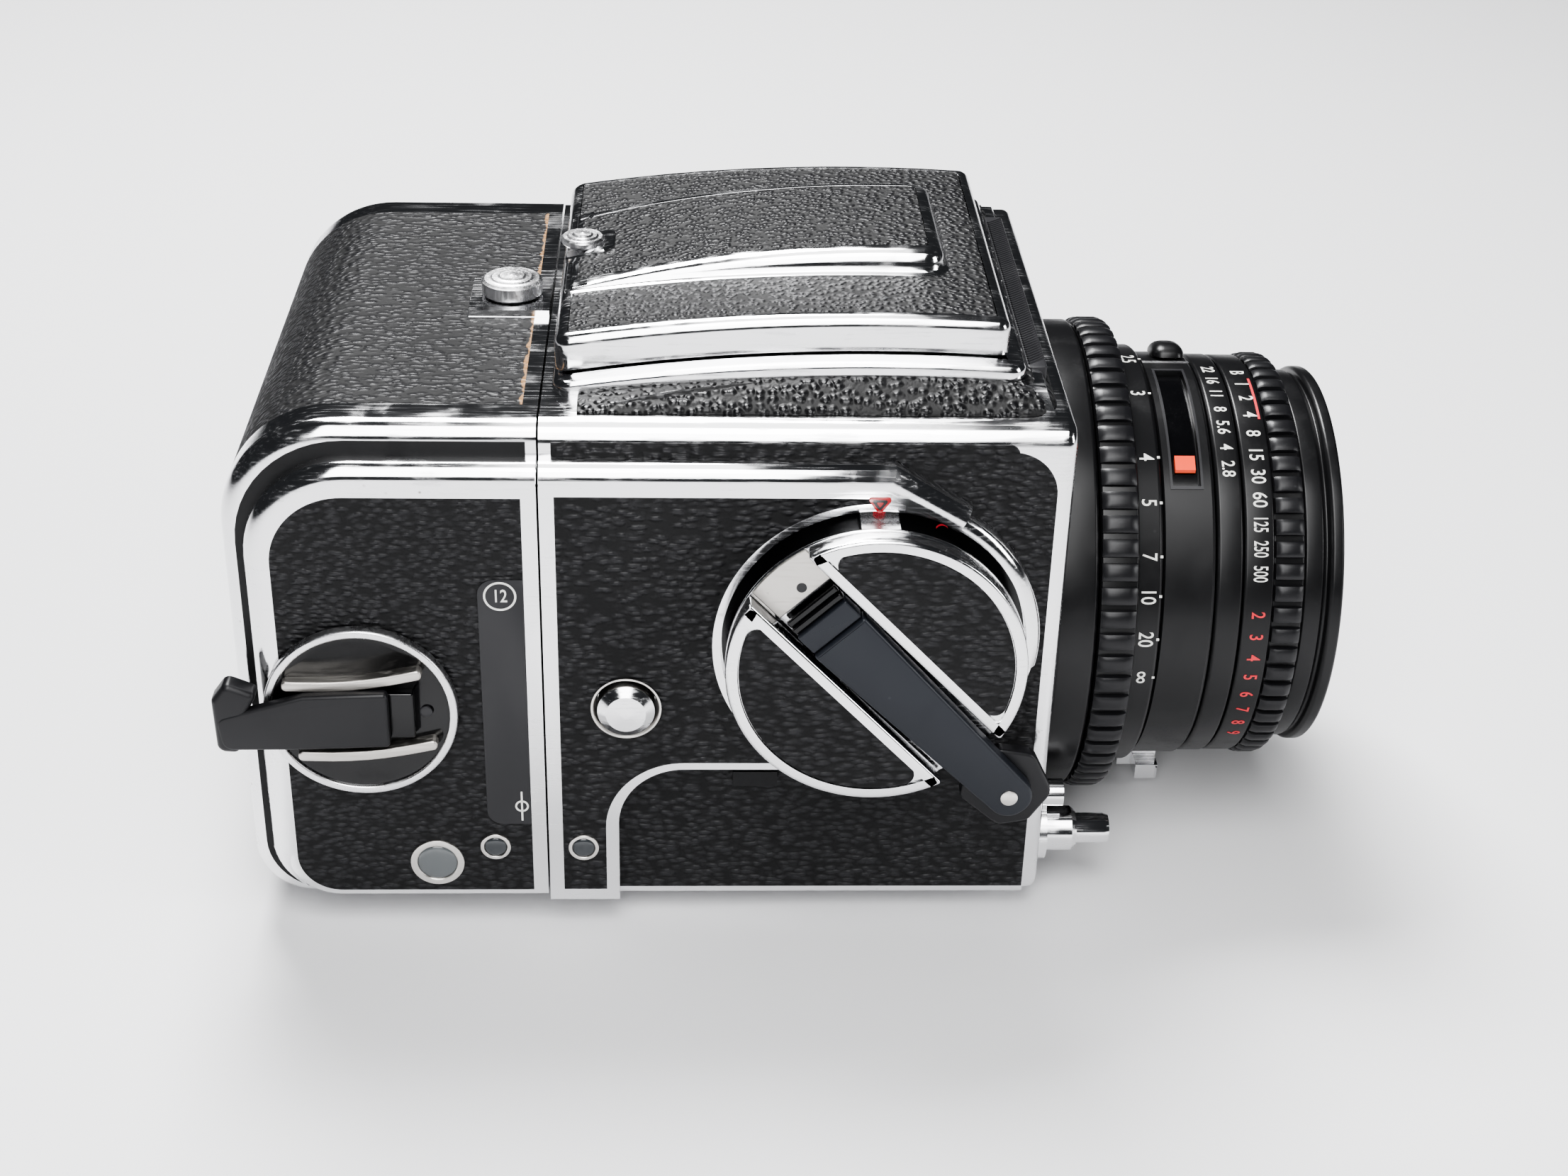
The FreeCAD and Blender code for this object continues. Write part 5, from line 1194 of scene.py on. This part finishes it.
# %% Signal windows
for name, forward, height, radius, material in (("body_window", 5.5, 12.0, 2.35, window_dark),
                                                ("small_window", -8.1, 12.2, 2.35, window_dark),
                                                ("counter_window", -17.2, 9.2, 4.15, window_grey)):
    axle = outward(at(0, forward, height))
    rim = radius * 0.26
    ring = turn(name + "_ring", axle, bevelled([(radius - rim, 47.2), (radius, 47.2), (radius, 47.95),
                                                (radius - rim * 0.8, 48.05), (radius - rim, 47.9)], 0.08),
                brushed, BODY, 48)
    dome = [(radius - rim, 47.2), (radius - rim, 47.75)]
    dome += [((radius - rim) * math.cos(k * math.pi / 12), 47.75 + 0.45 * math.sin(k * math.pi / 12))
             for k in range(1, 6)]
    lens = turn(name + "_glass", axle, dome + [(0.02, 48.2)], material, BODY, 40, closed=False)
    if name == "counter_window":
        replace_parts(ring, "signal_windows")

# %% Label, number and film mark
label = stack("label_plate", box_outline(-9.15, 16.5, -2.45, 59.9, [2.4, 0.1, 0.1, 2.4],
                                     8),
              rounded_levels(47.3, 47.82, 0.1, 2), on_side, plate_grey, BODY)
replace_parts(label, "magazine_label")
stack("label_bed", box_outline(-9.3, 16.4, -2.45, 60.0, 0.05, 2),
      [(0.0, 47.15), (0.0, 47.68)], on_side, back_grain, BODY)


def side_text(name, words, size, forward, height, out, material, body):
    return lay_text(name, words, size,
                    lambda p: at(-out, forward, height) + Vector((-p.z, -p.x, p.y)), material, body, 0.75)


side_text("label_number", "12", 3.0, -5.85, 57.15, 47.84, white_paint, BODY)
turn("label_ring", outward(at(0, -5.85, 57.2)),
     [(2.1, 47.78), (2.42, 47.78), (2.42, 47.88), (2.1, 47.88)], white_paint, BODY, 48)
stack("film_mark", box_outline(-3.95, 17.2, -3.65, 22.6, 0.05, 2),
      [(0.0, 47.78), (0.0, 47.88)], on_side, white_paint, BODY)
turn("film_mark_ring", outward(at(0, -3.8, 19.9)),
     [(0.75, 47.78), (1.05, 47.78), (1.05, 47.88), (0.75, 47.88)], white_paint, BODY, 32)

# %% [markdown]
# ## Round the winding crank
# A dark ring lies behind the crank. A red triangle above it is the mark that the crank is set to. The
# pre-release button sits in a turned nickel well.

# %% Recess, marks and button well
turn("crank_recess", crank_axle, [(18.2, 45.62), (22.5, 45.62), (22.5, 45.82), (18.2, 45.82)], gloss_black,
     BODY, 128)


def triangle(grow):
    """A mark with its point down, above the crank."""
    middle = (crank_forward - 0.1, crank_height + 23.9)
    corners = [(middle[0] + x * grow, middle[1] + y * grow)
               for x, y in ((-2.0, 1.05), (2.0, 1.05), (0.0, -1.75))]
    return outline(corners, 0.42 * grow, 4)


for name, grow, high, material in (("mark_border", 1.0, 47.86, enamel_red),
                                   ("mark_dark", 0.66, 47.9, gloss_black),
                                   ("mark_heart", 0.3, 47.94, enamel_red)):
    stack(name, triangle(grow), [(0.0, 47.6), (0.0, high - 0.04), (0.05, high)], on_side, material, BODY)
turn("catch_dot", outward(at(0, crank_forward, crank_height + 21.55)),
     [(0.9, 45.7), (0.9, 45.87), (0.02, 45.88)], red_paint, BODY, 24, closed=False)
arc_mark = []
for step in range(9):
    bend = math.radians(20 + 17.5 * step)
    arc_mark.append(Vector((crank_forward + 9.2 - 0.9 * math.cos(bend),
                            crank_height + 18.9 + 0.8 * math.sin(bend))))
side_sheet("turn_mark", arc_mark, [p + Vector((0.05, -0.28)) for p in arc_mark], 45.8, 0.08, red_paint, BODY)
well_axle = outward(at(0, 12.3, 37.8))
turn("button_well", well_axle, bevelled([(4.4, 44.6), (5.15, 44.6), (5.15, 47.7), (5.35, 47.95), (5.0, 48.0),
                                         (4.75, 47.6), (4.4, 45.2)], 0.1), brushed, BODY, 64)

# %% [markdown]
# The winding crank is a thick chrome disc with a slot across it. Its two D shaped halves are dished, and
# leather lies in each dish. Both halves come from one outline, mirrored by the sign of its side.

# %% The crank's two halves, their leather, the floor and the web
SLOT_ANGLE = math.radians(46.5)
DISC_RADIUS, SLOT_HALF, DISC_TOP = 22.1, 5.5, 55.5


def on_slot(point, out):
    """An outline of (along the slot, across it) at a distance out from the camera's middle."""
    forward = crank_forward + point.x * math.cos(SLOT_ANGLE) + point.y * math.sin(SLOT_ANGLE)
    height = crank_height - point.x * math.sin(SLOT_ANGLE) + point.y * math.cos(SLOT_ANGLE)
    return at(-out, forward, height)


def half_disc(side, radius, edge, corner, steps=44):
    """A D: an arc from one end of the slot's edge to the other, with its two corners rounded."""
    low = math.asin((edge + corner) / (radius - corner))
    reach = (radius - corner) * math.cos(low)
    points = []
    for middle, start in ((reach, -math.pi / 2), (-reach, math.pi - low)):
        bend_by = math.pi / 2 + low
        arc = [start + bend_by * k / 8 for k in range(9)]
        corner_points = [Vector((middle + corner * math.cos(b), edge + corner + corner * math.sin(b)))
                         for b in arc]
        points += corner_points
        if middle > 0:
            points += [Vector((radius * math.cos(b), radius * math.sin(b)))
                       for b in (low + (math.pi - 2 * low) * k / steps for k in range(1, steps))]
    return [Vector((p.x, p.y * side)) for p in points]


# %% Make the crank from its outlines
for side, word in ((1, "upper"), (-1, "lower")):
    plate_levels = [(0.3, 52.5), (0.0, 52.8), (0.0, DISC_TOP - 0.6), (0.06, DISC_TOP - 0.33),
                    (0.2, DISC_TOP - 0.12),
                    (0.42, DISC_TOP - 0.02), (0.6, DISC_TOP), (1.75, DISC_TOP), (1.85, DISC_TOP - 0.35)]
    half = stack(f"crank_half_{word}", half_disc(side, DISC_RADIUS, SLOT_HALF, 0.5), plate_levels, on_slot,
                 chrome, CRANK,
                 sharp=40)
    field = stack(f"crank_leather_{word}", half_disc(side, DISC_RADIUS - 1.95, SLOT_HALF + 1.75, 1.7),
                  [(0.0, DISC_TOP - 0.4), (0.0, DISC_TOP - 0.1), (0.12, DISC_TOP - 0.02)], on_slot,
                  inset_grain, CRANK)
    if side > 0:
        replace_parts(field, "crank_insets")
crank_floor = turn("crank_floor", crank_axle, bevelled([(0.02, 45.9), (17.9, 45.9), (17.9, 50.6),
                                                        (21.4, 51.0),
                                                        (22.0, 51.5), (22.0, 51.9), (21.7, 52.05),
                                                        (0.02, 52.05)], 0.15),
                   chrome, CRANK, 160)
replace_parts(crank_floor, "crank_disc")
web_end = math.asin(5.2 / 21.8)
web_outline = [Vector((-15.2, 5.2))]
web_outline += [Vector((-21.8 * math.cos(b), 21.8 * math.sin(b)))
                for b in (web_end * (1 - k / 5) for k in range(11))]
web_outline += [Vector((-15.2, -5.2))]
stack("crank_web", web_outline, [(0.0, 51.9), (0.0, 52.2), (0.15, 52.32)], on_slot, worn_silver, CRANK)

# %% [markdown]
# The lever in the crank's slot is a tapered blue-black arm with a stepped block at its hinge. It is built in
# the crank's own directions: along the slot, across it, and outward.

# %% The lever, its block and its grip
lever_outline = outline([(-8.4, -4.9), (33.8, -3.35), (33.8, 3.35), (-8.4, 4.9)], [0.5, 3.3, 3.3, 0.5], 8)
lever = stack("lever_arm", lever_outline, [(0.25, 52.95), (0.0, 53.1)]
              + rounded_levels(53.1, 55.45, 0.55)[1:], on_slot,
              lever_black, "crank_lever")
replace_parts(lever, "crank_lever")
block_steps = ((-14.5, -13.4, 53.7), (-13.4, -12.3, 54.3), (-12.2, -8.6, 55.0))
for index, (back, front, high) in enumerate(block_steps):
    stack(f"lever_block_{index}", box_outline(back, -4.6, front, 4.6, 0.25, 3),
          rounded_levels(52.95, high, 0.25), on_slot, lever_black if index == 2 else gloss_black,
          "crank_lever")
rivet_axle = outward(on_slot(Vector((30.3, 0.0)), 0))
turn("lever_rivet", rivet_axle, [(1.3, 55.2), (1.3, 55.6), (1.1, 55.7), (0.02, 55.7)], brushed,
     "crank_grip", 32, closed=False)
turn("web_pin", outward(on_slot(Vector((-16.9, 0.6)), 0)),
     [(0.75, 52.0), (0.75, 52.42), (0.02, 52.46)], plate_grey, CRANK, 24, closed=False)
grip_shape = outline([(30.3 + u, w) for u, w in ((-3.6, -6.4), (4.4, -5.6), (7.0, -1.6), (5.6, 4.4),
                                                 (-1.8, 6.8),
                                                 (-6.3, 3.4), (-6.5, -2.8))],
                     [1.6, 2.0, 1.6, 2.4, 2.0, 1.8, 1.8], 5)
grip = stack("grip_pad", grip_shape, [(0.3, 50.45), (0.0, 50.75)] + rounded_levels(50.75, 52.75, 0.5)[1:],
             on_slot,
             rib_black, "crank_grip")
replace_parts(grip, "crank_grip")

# %% [markdown]
# ## Small controls
# The time lever is a ribbed black slide under the cover's edge. The lock on the release and the sync lever
# have fine teeth, so they are made with the two trees of copies that the lens and the strip use.

# %% Time lever, release lock and lens levers
lever_low, lever_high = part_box("time_lever")
ridges("time_lever_ridges", Vector((lever_low.x + 0.7 * MM, lever_low.y, lever_low.z + 0.25 * MM)),
       Vector((lever_low.x + 0.7 * MM, lever_high.y, lever_low.z + 0.25 * MM)), 0.5, 0.6, OUT_RIGHT,
       Vector((0, 0, 0.62)), 4, black_paint, "time_lever")
lock_axle = Axle(Vector((-36.5 * MM, joint_y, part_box("release_lock")[1].z - 2.2 * MM)), (0, -1, 0), (0, 0, 1))
ribs("lock_teeth", lock_axle, 22, 2.1, 80.3, (0.5, 2.3, 0.25), chrome, "release_lock", end_round=False)
sync_low, sync_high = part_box("sync_lever")
ridges("sync_teeth", Vector((sync_low.x, sync_low.y + 0.3 * MM, sync_low.z + 0.1 * MM)),
       Vector((sync_low.x, sync_low.y + 0.3 * MM, sync_low.z + 2.4 * MM)), 0.7, 0.3, AHEAD,
       Vector((0.9, 0, 0)), 9, chrome, "sync_lever")

# %% [markdown]
# ## Floor, light and camera
# A pale floor, and four soft lights: the key from above on the far side, a long strip overhead, one over the
# foreground and a weak one on the lens. Chrome shows its surroundings, so the world stays nearly dark.

# %% The floor
def stage_plane(name, corners, colour, roughness=0.7):
    material, tree, shader = finish(name + " paint", colour, roughness)
    thing = make_piece(name, [Vector(c) for c in corners], [(0, 1, 2, 3)], material, None, recalc=False)
    return thing


FLOOR_REACH = 3.0
stage_plane("floor", [(x * FLOOR_REACH, y * FLOOR_REACH, 0) for x, y in ((-1, -1), (1, -1), (1, 1), (-1, 1))],
            (0.80, 0.80, 0.81), 0.75)


# %% The lights
def soft_light(name, place, target, size, power):
    data = bpy.data.lights.new(name, "AREA")
    data.shape, data.size, data.size_y = "RECTANGLE", size[0], size[1]
    data.energy = power
    lamp = linked(name, data)
    lamp.location = place
    lamp.rotation_mode = "QUATERNION"
    lamp.rotation_quaternion = (Vector(target) - Vector(place)).to_track_quat("-Z", "Y")


soft_light("key", (0.42, 0.14, 0.78), (0.0, 0.0, 0.04), (0.34, 0.42), 9.5)
soft_light("overhead strip", (-0.12, 0.0, 0.85), (-0.04, 0.0, 0.05), (0.22, 1.1), 1.6)
soft_light("foreground", (-0.62, 0.05, 0.55), (-0.32, 0.0, 0.0), (0.5, 0.9), 6.0)
soft_light("lens side", (-0.3, -0.75, 0.3), (0.0, -0.06, 0.05), (0.25, 0.35), 1.6)
world = bpy.data.worlds.new("studio")
bpy.context.scene.world = world
world.use_nodes = True
background = world.node_tree.nodes["Background"]
background.inputs["Color"].default_value = (0.5, 0.52, 0.56, 1)
background.inputs["Strength"].default_value = 0.07
view = bpy.context.scene.view_settings
view.view_transform, view.look, view.exposure = "AgX", "AgX - High Contrast", 0.1
print(len(bpy.data.lights), "lights")

# %% [markdown]
# The camera looks down at the crank's side from about thirty degrees above. Its place is given from the
# tripod socket. Its turn is three angles: down, sideways, and a slight roll.

# %% The camera
camera_data = bpy.data.cameras.new("camera")
camera_data.sensor_width, camera_data.lens = 36.0, 53.84
camera = linked("camera", camera_data)
bpy.context.scene.camera = camera
DOWN, SIDEWAYS, ROLL = 30.24, 2.77, 1.61
CAMERA_PLACE = Vector((-342.7, 17.3, 234.4)) * MM
looking = (Matrix.Rotation(math.radians(-90 - SIDEWAYS), 4, "Z")
           @ Matrix.Rotation(math.radians(90 - DOWN), 4, "X")
           @ Matrix.Rotation(math.radians(ROLL), 4, "Z"))
camera.matrix_world = Matrix.Translation(CAMERA_PLACE) @ looking
print("camera right", [round(v, 4) for v in looking.col[0][:3]], "up",
      [round(v, 4) for v in looking.col[1][:3]])
